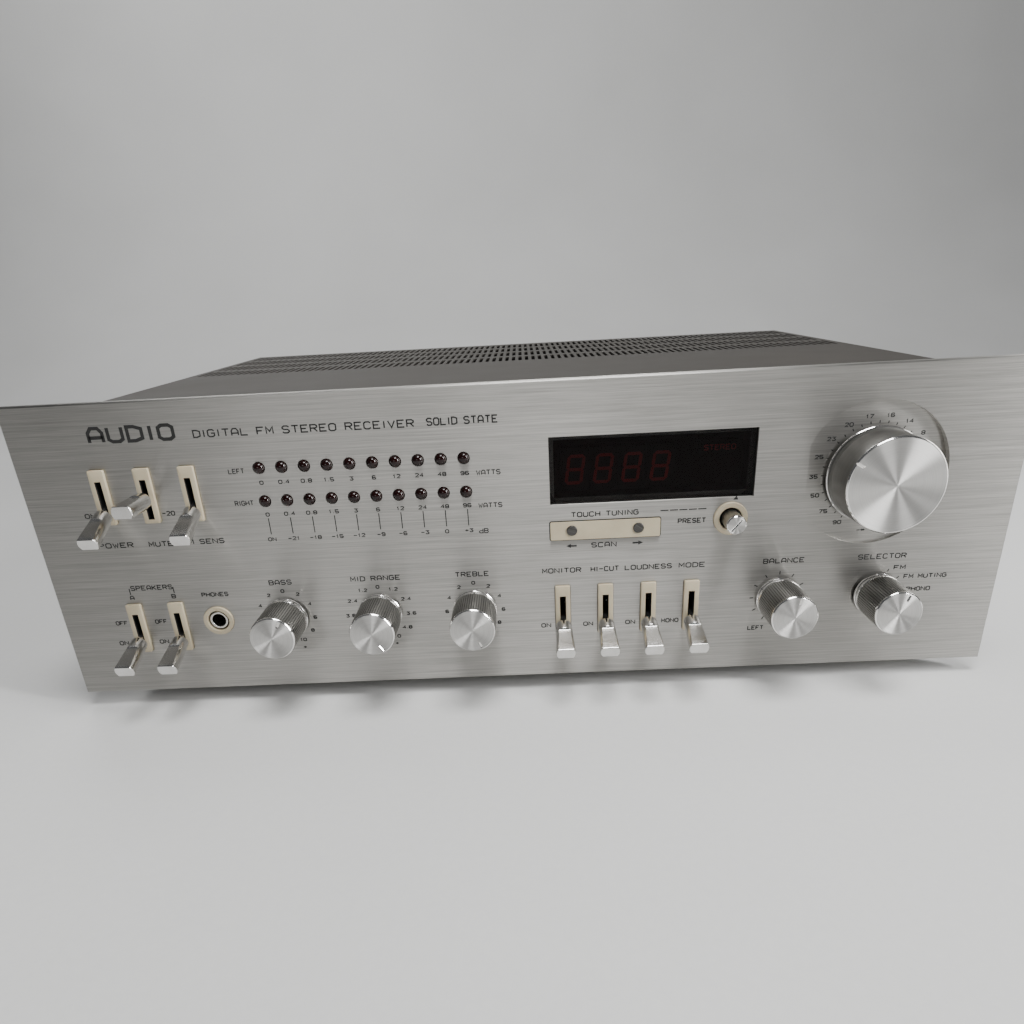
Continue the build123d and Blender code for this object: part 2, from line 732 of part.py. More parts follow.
# chassis tray with folded lips on all four sides
with BuildPart() as chassis_tray:
    with BuildSketch(floor_plane(CASE_BASE)):
        with Locations((0, (INNER_Y + REAR_Y) / 2)):
            Rectangle(TRAY_W, REAR_Y - INNER_Y)
    extrude(amount=16)
    with BuildSketch(floor_plane(CASE_BASE + SHEET_T)):
        with Locations((0, (INNER_Y + REAR_Y) / 2)):
            Rectangle(TRAY_W - 2 * SHEET_T, REAR_Y - INNER_Y - 2 * SHEET_T)
    extrude(amount=16, mode=Mode.SUBTRACT)
    with BuildSketch(floor_plane(CASE_BASE)):
        with Locations((0, 135)):
            with GridLocations(9, 60, 21, 2):
                SlotOverall(40, 3, rotation=90)
        with Locations((0, (FOOT_FRONT + FOOT_BACK) / 2)):
            with GridLocations(2 * FOOT_X, FOOT_BACK - FOOT_FRONT, 2, 2):
                Circle(1.95)
    extrude(amount=SHEET_T, mode=Mode.SUBTRACT)
    for screw_y in SIDE_SCREW_YS:
        with Locations((0, FRONT_Y + screw_y, PANEL_Z + SIDE_SCREW_Z)):
            Cylinder(1.95, TRAY_W + 10, rotation=(0, 90, 0), mode=Mode.SUBTRACT)
chassis_tray.part.label = "chassis_tray"
export_step(chassis_tray.part, "parts/chassis_tray.step")

# painted steel cover: top with four rows of slots, two sides
with BuildPart() as top_cover:
    with BuildSketch(face_plane(CASE_REAR)):
        with Locations((0, (CASE_BASE + CASE_TOP) / 2)):
            Rectangle(CASE_W, CASE_TOP - CASE_BASE)
    extrude(amount=CASE_REAR - PANEL_T - 0.3)
    fillet(top_cover.edges().filter_by(Axis.Y).group_by(Axis.Z)[-1], 2.5)
    with BuildSketch(face_plane(CASE_REAR + 1)):
        with Locations((0, (CASE_BASE + CASE_TOP) / 2 - COVER_T)):
            Rectangle(CASE_W - 2 * COVER_T, CASE_TOP - CASE_BASE)
    extrude(amount=CASE_REAR, mode=Mode.SUBTRACT)
    fillet(top_cover.edges().filter_by(Axis.Y).group_by(Axis.Z)[-2], 1.5)
    with BuildSketch(floor_plane(CASE_TOP - 3)):
        with Locations((0, SLOT_FIRST_Y + SLOT_ROW_PITCH * (SLOT_ROWS - 1) / 2)):
            with GridLocations(SLOT_PITCH, SLOT_ROW_PITCH, SLOT_COLUMNS, SLOT_ROWS):
                SlotOverall(SLOT_L, SLOT_W, rotation=90)
    extrude(amount=6, mode=Mode.SUBTRACT)
    for screw_y in SIDE_SCREW_YS:
        with Locations((0, FRONT_Y + screw_y, PANEL_Z + SIDE_SCREW_Z)):
            Cylinder(2.2, CASE_W + 10, rotation=(0, 90, 0), mode=Mode.SUBTRACT)
top_cover.part.label = "top_cover"
export_step(top_cover.part, "parts/top_cover.step")

# four moulded feet, counterbored for their screws
with BuildPart() as feet:
    with Locations((0, FRONT_Y + (FOOT_FRONT + FOOT_BACK) / 2)):
        with GridLocations(2 * FOOT_X, FOOT_BACK - FOOT_FRONT, 2, 2):
            Cone(
                FOOT_R - 1.5,
                FOOT_R,
                PANEL_Z + CASE_BASE,
                align=(Align.CENTER, Align.CENTER, Align.MIN),
            )
    chamfer(feet.edges().filter_by(GeomType.CIRCLE).group_by(Axis.Z)[0], 0.8)
    with BuildSketch(Plane.XY):
        with Locations((0, FRONT_Y + (FOOT_FRONT + FOOT_BACK) / 2)):
            with GridLocations(2 * FOOT_X, FOOT_BACK - FOOT_FRONT, 2, 2):
                Circle(5)
    extrude(amount=6, mode=Mode.SUBTRACT)
    with BuildSketch(Plane.XY):
        with Locations((0, FRONT_Y + (FOOT_FRONT + FOOT_BACK) / 2)):
            with GridLocations(2 * FOOT_X, FOOT_BACK - FOOT_FRONT, 2, 2):
                Circle(2.2)
    extrude(amount=PANEL_Z + CASE_BASE, mode=Mode.SUBTRACT)
feet.part.label = "feet"
export_step(feet.part, "parts/feet.step")

# pan-head screws: six hold the cover to the tray lips, four hold the feet
with BuildPart() as case_screws:
    for side in (-1, 1):
        for screw_y in SIDE_SCREW_YS:
            spot_y = FRONT_Y + screw_y
            spot_z = PANEL_Z + SIDE_SCREW_Z
            with Locations((side * (CASE_W / 2 + 1.1), spot_y, spot_z)):
                Cylinder(3.8, 2.2, rotation=(0, 90, 0))
            with Locations((side * (CASE_W / 2 - 4), spot_y, spot_z)):
                Cylinder(1.9, 8, rotation=(0, 90, 0))
    chamfer(case_screws.edges().filter_by(GeomType.CIRCLE).group_by(Axis.X)[0], 0.6)
    chamfer(case_screws.edges().filter_by(GeomType.CIRCLE).group_by(Axis.X)[-1], 0.6)
    with BuildSketch(Plane.XY.offset(3.6)):
        with Locations((0, FRONT_Y + (FOOT_FRONT + FOOT_BACK) / 2)):
            with GridLocations(2 * FOOT_X, FOOT_BACK - FOOT_FRONT, 2, 2):
                Circle(3.8)
    extrude(amount=2.4)
    with BuildSketch(Plane.XY.offset(6)):
        with Locations((0, FRONT_Y + (FOOT_FRONT + FOOT_BACK) / 2)):
            with GridLocations(2 * FOOT_X, FOOT_BACK - FOOT_FRONT, 2, 2):
                Circle(1.9)
    extrude(amount=10)
case_screws.part.label = "case_screws"
export_step(case_screws.part, "parts/case_screws.step")

# ================= rear panel and sockets =================

RCA_SPOTS = (-20.0, 62.0)        # centre of the phono socket block
RCA_PITCH = 19.0
STRIP_SPOTS = [(95.0, 70.0), (145.0, 70.0)]
AERIAL_STRIP = (-120.0, 95.0)
FUSE = (-160.0, 40.0)
CORD_BUSH = (-184.0, 26.0)
GROUND_POST = (-66.0, 62.0)

with BuildPart() as rear_panel:
    with BuildSketch(face_plane(REAR_Y + SHEET_T)):
        with Locations((0, (CASE_BASE + CASE_TOP - COVER_T) / 2)):
            RectangleRounded(TRAY_W, CASE_TOP - COVER_T - CASE_BASE - 0.4, 2.0)
        with Locations(RCA_SPOTS):
            with GridLocations(RCA_PITCH, RCA_PITCH, 4, 2):
                Circle(4.1, mode=Mode.SUBTRACT)
        with Locations(CORD_BUSH):
            Circle(6.0, mode=Mode.SUBTRACT)
        with Locations(FUSE):
            Circle(6.1, mode=Mode.SUBTRACT)
        with Locations(GROUND_POST):
            Circle(2.1, mode=Mode.SUBTRACT)
    extrude(amount=SHEET_T)
rear_panel.part.label = "rear_panel"
export_step(rear_panel.part, "parts/rear_panel.step")

with BuildPart() as phono_jacks:
    with BuildSketch(face_plane(REAR_Y + SHEET_T + 8.0)):
        with Locations(RCA_SPOTS):
            with GridLocations(RCA_PITCH, RCA_PITCH, 4, 2):
                Circle(4.0)
    extrude(amount=18)
    with BuildSketch(face_plane(REAR_Y + SHEET_T + 1.4)):
        with Locations(RCA_SPOTS):
            with GridLocations(RCA_PITCH, RCA_PITCH, 4, 2):
                Circle(6.0)
    extrude(amount=1.4)
    with BuildSketch(face_plane(REAR_Y + SHEET_T + 8.0)):
        with Locations(RCA_SPOTS):
            with GridLocations(RCA_PITCH, RCA_PITCH, 4, 2):
                Circle(1.7)
    extrude(amount=9, mode=Mode.SUBTRACT)
phono_jacks.part.label = "phono_jacks"
export_step(phono_jacks.part, "parts/phono_jacks.step")

# screw terminal strips for the loudspeakers and the aerial
with BuildPart() as terminal_strips:
    with BuildSketch(face_plane(REAR_Y + SHEET_T + 6)):
        with Locations(*STRIP_SPOTS):
            Rectangle(44, 20)
        with Locations(AERIAL_STRIP):
            Rectangle(44, 20)
    extrude(amount=6)
    with BuildSketch(face_plane(REAR_Y + SHEET_T + 9)):
        with Locations(*STRIP_SPOTS, AERIAL_STRIP):
            with GridLocations(11, 1, 5, 1):
                Rectangle(1.6, 20)
    extrude(amount=9)
terminal_strips.part.label = "terminal_strips"
export_step(terminal_strips.part, "parts/terminal_strips.step")

# slotted screws of the strips, and the knurled earth post beside the phono sockets
with BuildPart() as terminal_screws:
    with BuildSketch(face_plane(REAR_Y + SHEET_T + 9)):
        with Locations(*STRIP_SPOTS, AERIAL_STRIP):
            with GridLocations(11, 1, 4, 1):
                Circle(3.4)
    extrude(amount=3)
    with BuildSketch(face_plane(REAR_Y + SHEET_T + 9)):
        with Locations(*STRIP_SPOTS, AERIAL_STRIP):
            with GridLocations(11, 1, 4, 1):
                Rectangle(5.4, 0.9)
    extrude(amount=1.0, mode=Mode.SUBTRACT)
    with BuildSketch(face_plane(REAR_Y + SHEET_T + 9)):
        with Locations(GROUND_POST):
            Circle(4.5)
    extrude(amount=7)
    with BuildSketch(face_plane(REAR_Y + SHEET_T + 2)):
        with Locations(GROUND_POST):
            Circle(2.0)
    extrude(amount=10)
terminal_screws.part.label = "terminal_screws"
export_step(terminal_screws.part, "parts/terminal_screws.step")

with BuildPart() as fuse_holder:
    with BuildSketch(face_plane(REAR_Y + SHEET_T + 10.8)):
        with Locations(FUSE):
            Circle(7.0)
    extrude(amount=10.8)
    with BuildSketch(face_plane(REAR_Y + SHEET_T)):
        with Locations(FUSE):
            Circle(6.0)
    extrude(amount=34)
fuse_holder.part.label = "fuse_holder"
export_step(fuse_holder.part, "parts/fuse_holder.step")

# strain-relief bush where the mains cord enters
with BuildPart() as cord_bush:
    with BuildSketch(face_plane(REAR_Y + SHEET_T + 7)):
        with Locations(CORD_BUSH):
            Circle(8.0)
    extrude(amount=7)
    with BuildSketch(face_plane(REAR_Y + SHEET_T)):
        with Locations(CORD_BUSH):
            Circle(5.9)
    extrude(amount=8)
    with BuildSketch(face_plane(REAR_Y + SHEET_T + 7)):
        with Locations(CORD_BUSH):
            Circle(3.4)
    extrude(amount=15, mode=Mode.SUBTRACT)
cord_bush.part.label = "cord_bush"
export_step(cord_bush.part, "parts/cord_bush.step")

# ================= inside the case =================

DECK = CASE_BASE + SHEET_T       # upper face of the tray floor
TRANSFORMER = (-120.0, 190.0)
HEAT_SINK = (110.0, 200.0)

# laminated core of the mains transformer
with BuildPart() as transformer_core:
    with BuildSketch(floor_plane(DECK)):
        with Locations(TRANSFORMER):
            Rectangle(84, 34)
    extrude(amount=70)
    with BuildSketch(floor_plane(DECK + 14)):
        with Locations(TRANSFORMER):
            with Locations((-21, 0), (21, 0)):
                Rectangle(14, 34)
    extrude(amount=42, mode=Mode.SUBTRACT)
transformer_core.part.label = "transformer_core"
export_step(transformer_core.part, "parts/transformer_core.step")

# winding round the middle limb
with BuildPart() as transformer_coil:
    with BuildSketch(floor_plane(DECK + 14.2)):
        with Locations(TRANSFORMER):
            RectangleRounded(55, 62, 8)
            Rectangle(28.2, 34.4, mode=Mode.SUBTRACT)
    extrude(amount=41.6)
transformer_coil.part.label = "transformer_coil"
export_step(transformer_coil.part, "parts/transformer_coil.step")

# two large filter capacitors
with BuildPart() as filter_capacitors:
    with BuildSketch(floor_plane(DECK)):
        with Locations((-52, 200), (-12, 200)):
            Circle(17.5)
    extrude(amount=75)
    fillet(filter_capacitors.edges().filter_by(GeomType.CIRCLE).group_by(Axis.Z)[-1], 2)
filter_capacitors.part.label = "filter_capacitors"
export_step(filter_capacitors.part, "parts/filter_capacitors.step")

# finned heat sink of the output stage
with BuildPart() as heat_sink:
    with BuildSketch(floor_plane(DECK)):
        with Locations(HEAT_SINK):
            Rectangle(150, 6)
            with Locations((0, 16)):
                with GridLocations(9.3, 1, 16, 1):
                    Rectangle(2.0, 28)
    extrude(amount=88)
heat_sink.part.label = "heat_sink"
export_step(heat_sink.part, "parts/heat_sink.step")

# main circuit board on pillars
with BuildPart() as main_board:
    with BuildSketch(floor_plane(DECK + 10)):
        with Locations((0, 100)):
            Rectangle(300, 110)
    extrude(amount=1.6)
    with BuildSketch(floor_plane(DECK)):
        with Locations((0, 100)):
            with GridLocations(280, 96, 2, 2):
                Circle(3)
    extrude(amount=10)
main_board.part.label = "main_board"
export_step(main_board.part, "parts/main_board.step")

# tinned screening box of the tuner
with BuildPart() as tuner_box:
    with BuildSketch(floor_plane(DECK + 11.6)):
        with Locations((95, 110)):
            RectangleRounded(96, 64, 1.5)
    extrude(amount=26)
    with BuildSketch(floor_plane(DECK + 11.6)):
        with Locations((95, 110)):
            Rectangle(95, 63)
    extrude(amount=25.5, mode=Mode.SUBTRACT)
tuner_box.part.label = "tuner_box"
export_step(tuner_box.part, "parts/tuner_box.step")
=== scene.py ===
import json
from math import atan2, cos, pi, radians, sin

import bmesh
import bpy
from mathutils import Euler, Matrix, Vector


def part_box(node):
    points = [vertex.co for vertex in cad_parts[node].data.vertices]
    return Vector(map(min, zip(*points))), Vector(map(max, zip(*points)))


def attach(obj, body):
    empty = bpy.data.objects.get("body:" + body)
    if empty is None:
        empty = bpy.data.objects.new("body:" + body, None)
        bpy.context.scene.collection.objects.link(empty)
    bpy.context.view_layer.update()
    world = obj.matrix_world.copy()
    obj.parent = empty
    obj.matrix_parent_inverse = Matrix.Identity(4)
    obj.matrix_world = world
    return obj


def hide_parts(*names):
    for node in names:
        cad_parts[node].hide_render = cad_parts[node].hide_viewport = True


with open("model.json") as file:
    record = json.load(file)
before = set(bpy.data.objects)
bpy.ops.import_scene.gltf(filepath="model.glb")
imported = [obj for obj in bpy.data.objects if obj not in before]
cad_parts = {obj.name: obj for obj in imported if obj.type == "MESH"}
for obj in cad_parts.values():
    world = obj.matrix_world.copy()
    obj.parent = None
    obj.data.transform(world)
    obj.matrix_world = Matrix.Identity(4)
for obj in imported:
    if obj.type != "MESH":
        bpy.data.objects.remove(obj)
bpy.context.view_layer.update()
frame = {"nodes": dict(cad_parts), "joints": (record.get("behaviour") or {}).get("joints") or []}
MM = 0.001


# ---------------------------------------------------------------------------
# Chassis tray, sub-panel and rear panel
# Folded mild-steel sheet, zinc plated. The tray is spot welded at its corners,
# and the two upright sheets are screwed to its lips.
# ---------------------------------------------------------------------------

def effect_group(name, inputs, outputs):
    """Empty shader node group with named sockets; inputs are (name, kind, default)."""
    group = bpy.data.node_groups.new(name, "ShaderNodeTree")
    for label, kind, default in inputs:
        socket = group.interface.new_socket(label, in_out="INPUT", socket_type="NodeSocket" + kind)
        socket.default_value = default
    for label, kind in outputs:
        group.interface.new_socket(label, in_out="OUTPUT", socket_type="NodeSocket" + kind)
    ends = (group.nodes.new("NodeGroupInput"), group.nodes.new("NodeGroupOutput"))
    return group, ends[0].outputs, ends[1].inputs


def wire(tree, kind, settings=(), **inputs):
    """Adds a node, sets its options, and feeds its sockets with values or other sockets."""
    node = tree.nodes.new("ShaderNode" + kind)
    for option, value in dict(settings).items():
        setattr(node, option, value)
    for key, value in inputs.items():
        place = int(key[1:]) if key[0] == "i" and key[1:].isdigit() else key.replace("_", " ")
        if isinstance(value, bpy.types.NodeSocket):
            tree.links.new(value, node.inputs[place])
        else:
            node.inputs[place].default_value = value
    return node


def mix_by(tree, mask, low, high):
    """Colour between two colours, by a mask."""
    node = wire(tree, "Mix", {"data_type": "RGBA"})
    for place, value in ((0, mask), (6, low), (7, high)):
        tree.links.new(value, node.inputs[place])
    return node.outputs[2]


def range_by(tree, mask, low, high):
    """Number between two numbers, by a mask."""
    node = wire(tree, "MapRange", Value=mask)
    tree.links.new(low, node.inputs["To Min"])
    tree.links.new(high, node.inputs["To Max"])
    return node.outputs[0]


TONE_SOCKETS = [
    ("Colour Low", "Color", (0.2, 0.2, 0.2, 1)),
    ("Colour High", "Color", (0.3, 0.3, 0.3, 1)),
    ("Roughness Low", "Float", 0.3),
    ("Roughness High", "Float", 0.5),
]
TONE_RESULTS = [("Colour", "Color"), ("Roughness", "Float"), ("Height", "Float")]


def close_tones(tree, into, out, mask, height):
    """Ends an effect group: its mask chooses between the two colours and roughnesses."""
    tree.links.new(mix_by(tree, mask, into["Colour Low"], into["Colour High"]), out["Colour"])
    rough = range_by(tree, mask, into["Roughness Low"], into["Roughness High"])
    tree.links.new(rough, out["Roughness"])
    tree.links.new(height, out["Height"])


# clouded tone over centimetres with a fine grain over tenths of a millimetre
mottle, into, out = effect_group(
    "mottled_surface",
    [("Cloud Scale", "Float", 30.0), ("Grain Scale", "Float", 2500.0), *TONE_SOCKETS],
    TONE_RESULTS,
)
place = wire(mottle, "TexCoord").outputs["Object"]
cloud = wire(mottle, "TexNoise", Vector=place, Scale=into["Cloud Scale"], Detail=4.0)
grain = wire(mottle, "TexNoise", Vector=place, Scale=into["Grain Scale"], Detail=2.0)
both = wire(mottle, "Math", {"operation": "MULTIPLY_ADD"}, i0=grain.outputs[0], i1=0.35)
mottle.links.new(cloud.outputs[0], both.inputs[2])
spread = wire(mottle, "MapRange", Value=both.outputs[0])
spread.inputs["From Min"].default_value = 0.42
spread.inputs["From Max"].default_value = 0.92
close_tones(mottle, into, out, spread.outputs[0], grain.outputs[0])


def finish(name, effect, colours, roughness, metallic=0.0, bump=0.1, bump_depth=0.02 * MM,
           shader=None, **values):
    """Material whose colour, roughness and relief come from one effect group. Colours and
    roughness are each given as (low, high)."""
    material = bpy.data.materials.new(name)
    material.use_nodes = True
    tree = material.node_tree
    surface = tree.nodes["Principled BSDF"]
    surface.inputs["Metallic"].default_value = metallic
    for socket, value in (shader or {}).items():
        surface.inputs[socket].default_value = value
    detail = tree.nodes.new("ShaderNodeGroup")
    detail.node_tree = effect
    for key, value in values.items():
        detail.inputs[key.replace("_", " ").title()].default_value = value
    for end, colour, rough in zip(("Low", "High"), colours, roughness):
        detail.inputs[f"Colour {end}"].default_value = (*colour, 1)
        detail.inputs[f"Roughness {end}"].default_value = rough
    relief = tree.nodes.new("ShaderNodeBump")
    relief.inputs["Strength"].default_value = bump
    relief.inputs["Distance"].default_value = bump_depth
    tree.links.new(detail.outputs["Colour"], surface.inputs["Base Color"])
    tree.links.new(detail.outputs["Roughness"], surface.inputs["Roughness"])
    tree.links.new(detail.outputs["Height"], relief.inputs["Height"])
    tree.links.new(relief.outputs["Normal"], surface.inputs["Normal"])
    return material


def dress(material, *nodes):
    """Gives CAD nodes their finish."""
    for node in nodes:
        mesh = frame["nodes"][node].data
        mesh.materials.clear()
        mesh.materials.append(material)


zinc = finish(
    "zinc_plated_sheet", mottle, metallic=1.0, bump=0.15,
    cloud_scale=45.0, grain_scale=900.0,
    colours=((0.36, 0.36, 0.34), (0.55, 0.54, 0.50)),
    roughness=(0.30, 0.55),
)
dress(zinc, "chassis_tray", "sub_panel")
rear_paint = finish(
    "rear_panel_paint", mottle, bump=0.3,
    cloud_scale=25.0, grain_scale=3200.0,
    colours=((0.020, 0.019, 0.018), (0.034, 0.032, 0.030)),
    roughness=(0.42, 0.58),
)
dress(rear_paint, "rear_panel")


# ---------------------------------------------------------------------------
# Inside of the case
# Mains transformer of stamped laminations with a taped winding, two sleeved
# capacitors, black finned heat sink, green boards and the tinned tuner box.
# ---------------------------------------------------------------------------

# fine lines in one direction over a slow change of tone
lines, into, out = effect_group(
    "fine_lines",
    [("Along", "Vector", (1.0, 1.0, 1.0)), ("Line Scale", "Float", 400.0), *TONE_SOCKETS],
    TONE_RESULTS,
)
place = wire(lines, "TexCoord").outputs["Object"]
pulled = wire(lines, "VectorMath", {"operation": "MULTIPLY"}, i0=place, i1=into["Along"])
line = wire(
    lines, "TexNoise", Vector=pulled.outputs[0], Scale=into["Line Scale"], Detail=5.0, Roughness=0.7
)
longer = wire(lines, "VectorMath", {"operation": "SCALE"}, i0=pulled.outputs[0], Scale=0.31)
band = wire(
    lines, "TexNoise", Vector=longer.outputs[0], Scale=into["Line Scale"], Detail=3.0, Roughness=0.6
)
cloud = wire(lines, "TexNoise", Vector=place, Scale=14.0, Detail=3.0)
sum_one = wire(lines, "Math", {"operation": "MULTIPLY_ADD"}, i0=band.outputs[0], i1=0.7)
lines.links.new(line.outputs[0], sum_one.inputs[2])
sum_two = wire(lines, "Math", {"operation": "MULTIPLY_ADD"}, i0=cloud.outputs[0], i1=0.35)
lines.links.new(sum_one.outputs[0], sum_two.inputs[2])
spread = wire(lines, "MapRange", Value=sum_two.outputs[0])
spread.inputs["From Min"].default_value = 0.80
spread.inputs["From Max"].default_value = 1.25
close_tones(lines, into, out, spread.outputs[0], sum_one.outputs[0])

dress(finish(
    "varnished_lamination", lines, metallic=0.6, bump=0.6, bump_depth=0.1 * MM,
    along=(0.05, 1.0, 0.05), line_scale=2200.0,
    colours=((0.045, 0.042, 0.040), (0.12, 0.11, 0.10)),
    roughness=(0.35, 0.6),
), "transformer_core")
dress(finish(
    "winding_tape", lines, bump=0.5, bump_depth=0.2 * MM,
    along=(0.05, 0.05, 1.0), line_scale=500.0,
    colours=((0.42, 0.27, 0.06), (0.62, 0.43, 0.12)),
    roughness=(0.3, 0.5),
), "transformer_coil")
dress(finish(
    "capacitor_sleeve", mottle, cloud_scale=60.0, grain_scale=800.0,
    colours=((0.010, 0.030, 0.090), (0.018, 0.045, 0.13)),
    roughness=(0.22, 0.34),
), "filter_capacitors")
dress(finish(
    "black_anodised_fins", lines, metallic=0.4, bump=0.2,
    along=(1.0, 1.0, 0.03), line_scale=1500.0,
    colours=((0.012, 0.012, 0.013), (0.028, 0.028, 0.030)),
    roughness=(0.4, 0.6),
), "heat_sink")
dress(finish(
    "board_resist", mottle, cloud_scale=120.0, grain_scale=1600.0,
    colours=((0.025, 0.10, 0.035), (0.05, 0.17, 0.06)),
    roughness=(0.3, 0.45),
), "main_board", "led_board")
tinned = finish(
    "tinned_steel", mottle, metallic=1.0, cloud_scale=80.0, grain_scale=1200.0,
    colours=((0.42, 0.43, 0.43), (0.60, 0.60, 0.59)),
    roughness=(0.25, 0.45),
)
dress(tinned, "tuner_box", "control_pots", "selector_switch")
dress(finish(
    "pressed_phenolic_board", mottle, cloud_scale=150.0, grain_scale=2200.0,
    colours=((0.10, 0.045, 0.018), (0.18, 0.085, 0.035)),
    roughness=(0.4, 0.6),
), "switch_bodies")
plated = finish(
    "nickel_plated_steel", mottle, metallic=1.0, bump=0.06,
    cloud_scale=120.0, grain_scale=2500.0,
    colours=((0.52, 0.51, 0.48), (0.72, 0.70, 0.66)),
    roughness=(0.16, 0.32),
)
dress(plated, "panel_fasteners", "pot_nuts", "switch_pins",
      *[f"{knob}_shaft" for knob in
        ("bass", "mid", "treble", "balance", "selector", "volume", "preset")])


# ---------------------------------------------------------------------------
# Rear sockets, fuse, strain relief
# Nickel-plated phono sockets with coloured insulators, moulded terminal strips
# with slotted screws, a screw-in fuse holder and a moulded bush for the cord.
# ---------------------------------------------------------------------------

REAR_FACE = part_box("rear_panel")[1].y
FOOT_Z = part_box("front_panel")[0].z
SOCKET_PITCH = 19 * MM
SOCKET_MOUTH = 8.0 * MM
INSULATOR_R = 3.1 * MM


def settle(bm, name):
    """Finished mesh from a working one, its faces turned outwards."""
    bmesh.ops.recalc_face_normals(bm, faces=bm.faces)
    mesh = bpy.data.meshes.new(name)
    bm.to_mesh(mesh)
    bm.free()
    return mesh


def turned_mesh(name, profile, steps, flutes=0, flute_depth=0.0, groove_shade_index=None):
    """Closed mesh turned about local Y. Profile points are (radius, distance towards -Y, fluted,
    material index); the first and last points lie on the axis. Groove walls take the finish index
    given last, if it is given; that finish is painted shade in the flute grooves."""
    bm = bmesh.new()
    rings = []
    for radius, reach, fluted, finish_index in profile:
        if radius == 0:
            rings.append(([bm.verts.new((0, -reach, 0))], fluted, finish_index))
            continue
        ring = []
        for step in range(steps):
            turn = 2 * pi * step / steps
            r = radius
            if fluted:
                groove = (step * flutes) % steps == 0
                r = radius - (flute_depth if groove else 0)
            ring.append(bm.verts.new((r * sin(turn), -reach, r * cos(turn))))
        rings.append((ring, fluted, finish_index))
    for (near, near_fluted, _), (far, far_fluted, finish_index) in zip(rings, rings[1:]):
        count = max(len(near), len(far))
        for step in range(count):
            following = (step + 1) % count
            corners = [near[step % len(near)], near[following % len(near)],
                       far[following % len(far)], far[step % len(far)]]
            unique = []
            for corner in corners:
                if corner not in unique:
                    unique.append(corner)
            face = bm.faces.new(unique)
            face.material_index = finish_index
            on_groove = 0 in ((step * flutes) % steps, (following * flutes) % steps)
            if groove_shade_index is not None and near_fluted and far_fluted and on_groove:
                face.material_index = groove_shade_index
    return settle(bm, name)


def mount_piece(name, mesh, materials, body, location=(0, 0, 0), sharp=32):
    """Object for a finished mesh, shaded smooth up to its sharp edges, riding on a body."""
    for material in materials:
        mesh.materials.append(material)
    mesh.shade_smooth()
    mesh.set_sharp_from_angle(angle=radians(sharp))
    piece = bpy.data.objects.new(name, mesh)
    bpy.context.scene.collection.objects.link(piece)
    piece.location = location
    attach(piece, body)
    return piece


def spots_mesh(name, mesh, spots):
    """One mesh with a copy of another at each spot."""
    bm = bmesh.new()
    for spot in spots:
        copy = mesh.copy()
        copy.transform(Matrix.Translation(spot))
        bm.from_mesh(copy)
        bpy.data.meshes.remove(copy)
    joined = bpy.data.meshes.new(name)
    bm.to_mesh(joined)
    bm.free()
    return joined


black_plastic = finish(
    "black_moulded_plastic", mottle, bump=0.35,
    cloud_scale=60.0, grain_scale=4200.0,
    colours=((0.010, 0.010, 0.010), (0.024, 0.023, 0.022)),
    roughness=(0.38, 0.55),
)
dress(black_plastic, "terminal_strips", "fuse_holder", "cord_bush", "preset_pot")
dress(plated, "phono_jacks", "terminal_screws")

socket_low, socket_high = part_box("phono_jacks")
socket_centre = (socket_low + socket_high) / 2
insulator = turned_mesh("insulator", [
    (0, -0.2 * MM, 0, 0), (INSULATOR_R, -0.2 * MM, 0, 0), (INSULATOR_R, 0.5 * MM, 0, 0),
    (1.9 * MM, 0.5 * MM, 0, 0), (1.9 * MM, 0.2 * MM, 0, 0), (0, 0.2 * MM, 0, 0)], 40)
insulator.transform(Matrix.Rotation(pi, 4, "Z"))
for row, (channel, tone) in enumerate((
        ("right", ((0.32, 0.015, 0.012), (0.45, 0.03, 0.025))),
        ("left", ((0.62, 0.60, 0.55), (0.74, 0.72, 0.66))))):
    spots = [Vector((socket_centre.x + (column - 1.5) * SOCKET_PITCH,
                     REAR_FACE + SOCKET_MOUTH - 0.2 * MM,
                     socket_centre.z + (row - 0.5) * SOCKET_PITCH)) for column in range(4)]
    insulator_finish = finish(
        f"socket_insulator_{channel}", mottle, cloud_scale=200.0, grain_scale=3000.0,
        colours=tone, roughness=(0.3, 0.45))
    rings = spots_mesh(f"insulators_{channel}", insulator, spots)
    mount_piece(f"socket_insulators_{channel}", rings, [insulator_finish], "case")
bpy.data.meshes.remove(insulator)


# ---------------------------------------------------------------------------
# Feet and case screws
# Moulded black feet screwed up into the tray, and plated pan-head screws with
# cross recesses through the cover's sides.
# ---------------------------------------------------------------------------

dress(black_plastic, "feet")
dress(plated, "case_screws")
CROSS_L = 4.0 * MM
CROSS_W = 0.9 * MM
screw_low, screw_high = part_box("case_screws")
SIDE_SCREW_YS = (-75 * MM, 5 * MM, 85 * MM)
SIDE_SCREW_Z = FOOT_Z + 12 * MM
shadowed = finish(
    "shadowed_recess", mottle, cloud_scale=300.0, grain_scale=3000.0,
    colours=((0.010, 0.010, 0.010), (0.03, 0.03, 0.03)),
    roughness=(0.5, 0.7))
bm = bmesh.new()
for side_x in (screw_low.x, screw_high.x):
    for y in SIDE_SCREW_YS:
        inner = side_x * (1 - 0.4 * MM / abs(side_x))
        outer = side_x * (1 + 0.01 * MM / abs(side_x))
        half_l, half_w = CROSS_L / 2, CROSS_W / 2
        outline = [(half_w, half_w), (half_l, half_w), (half_l, -half_w), (half_w, -half_w),
                   (half_w, -half_l), (-half_w, -half_l), (-half_w, -half_w), (-half_l, -half_w),
                   (-half_l, half_w), (-half_w, half_w), (-half_w, half_l), (half_w, half_l)]
        face = bm.faces.new([bm.verts.new((inner, y + u, SIDE_SCREW_Z + v)) for u, v in outline])
        grown = bmesh.ops.extrude_face_region(bm, geom=[face])
        moved = [v for v in grown["geom"] if isinstance(v, bmesh.types.BMVert)]
        bmesh.ops.translate(bm, verts=moved, vec=(outer - inner, 0, 0))
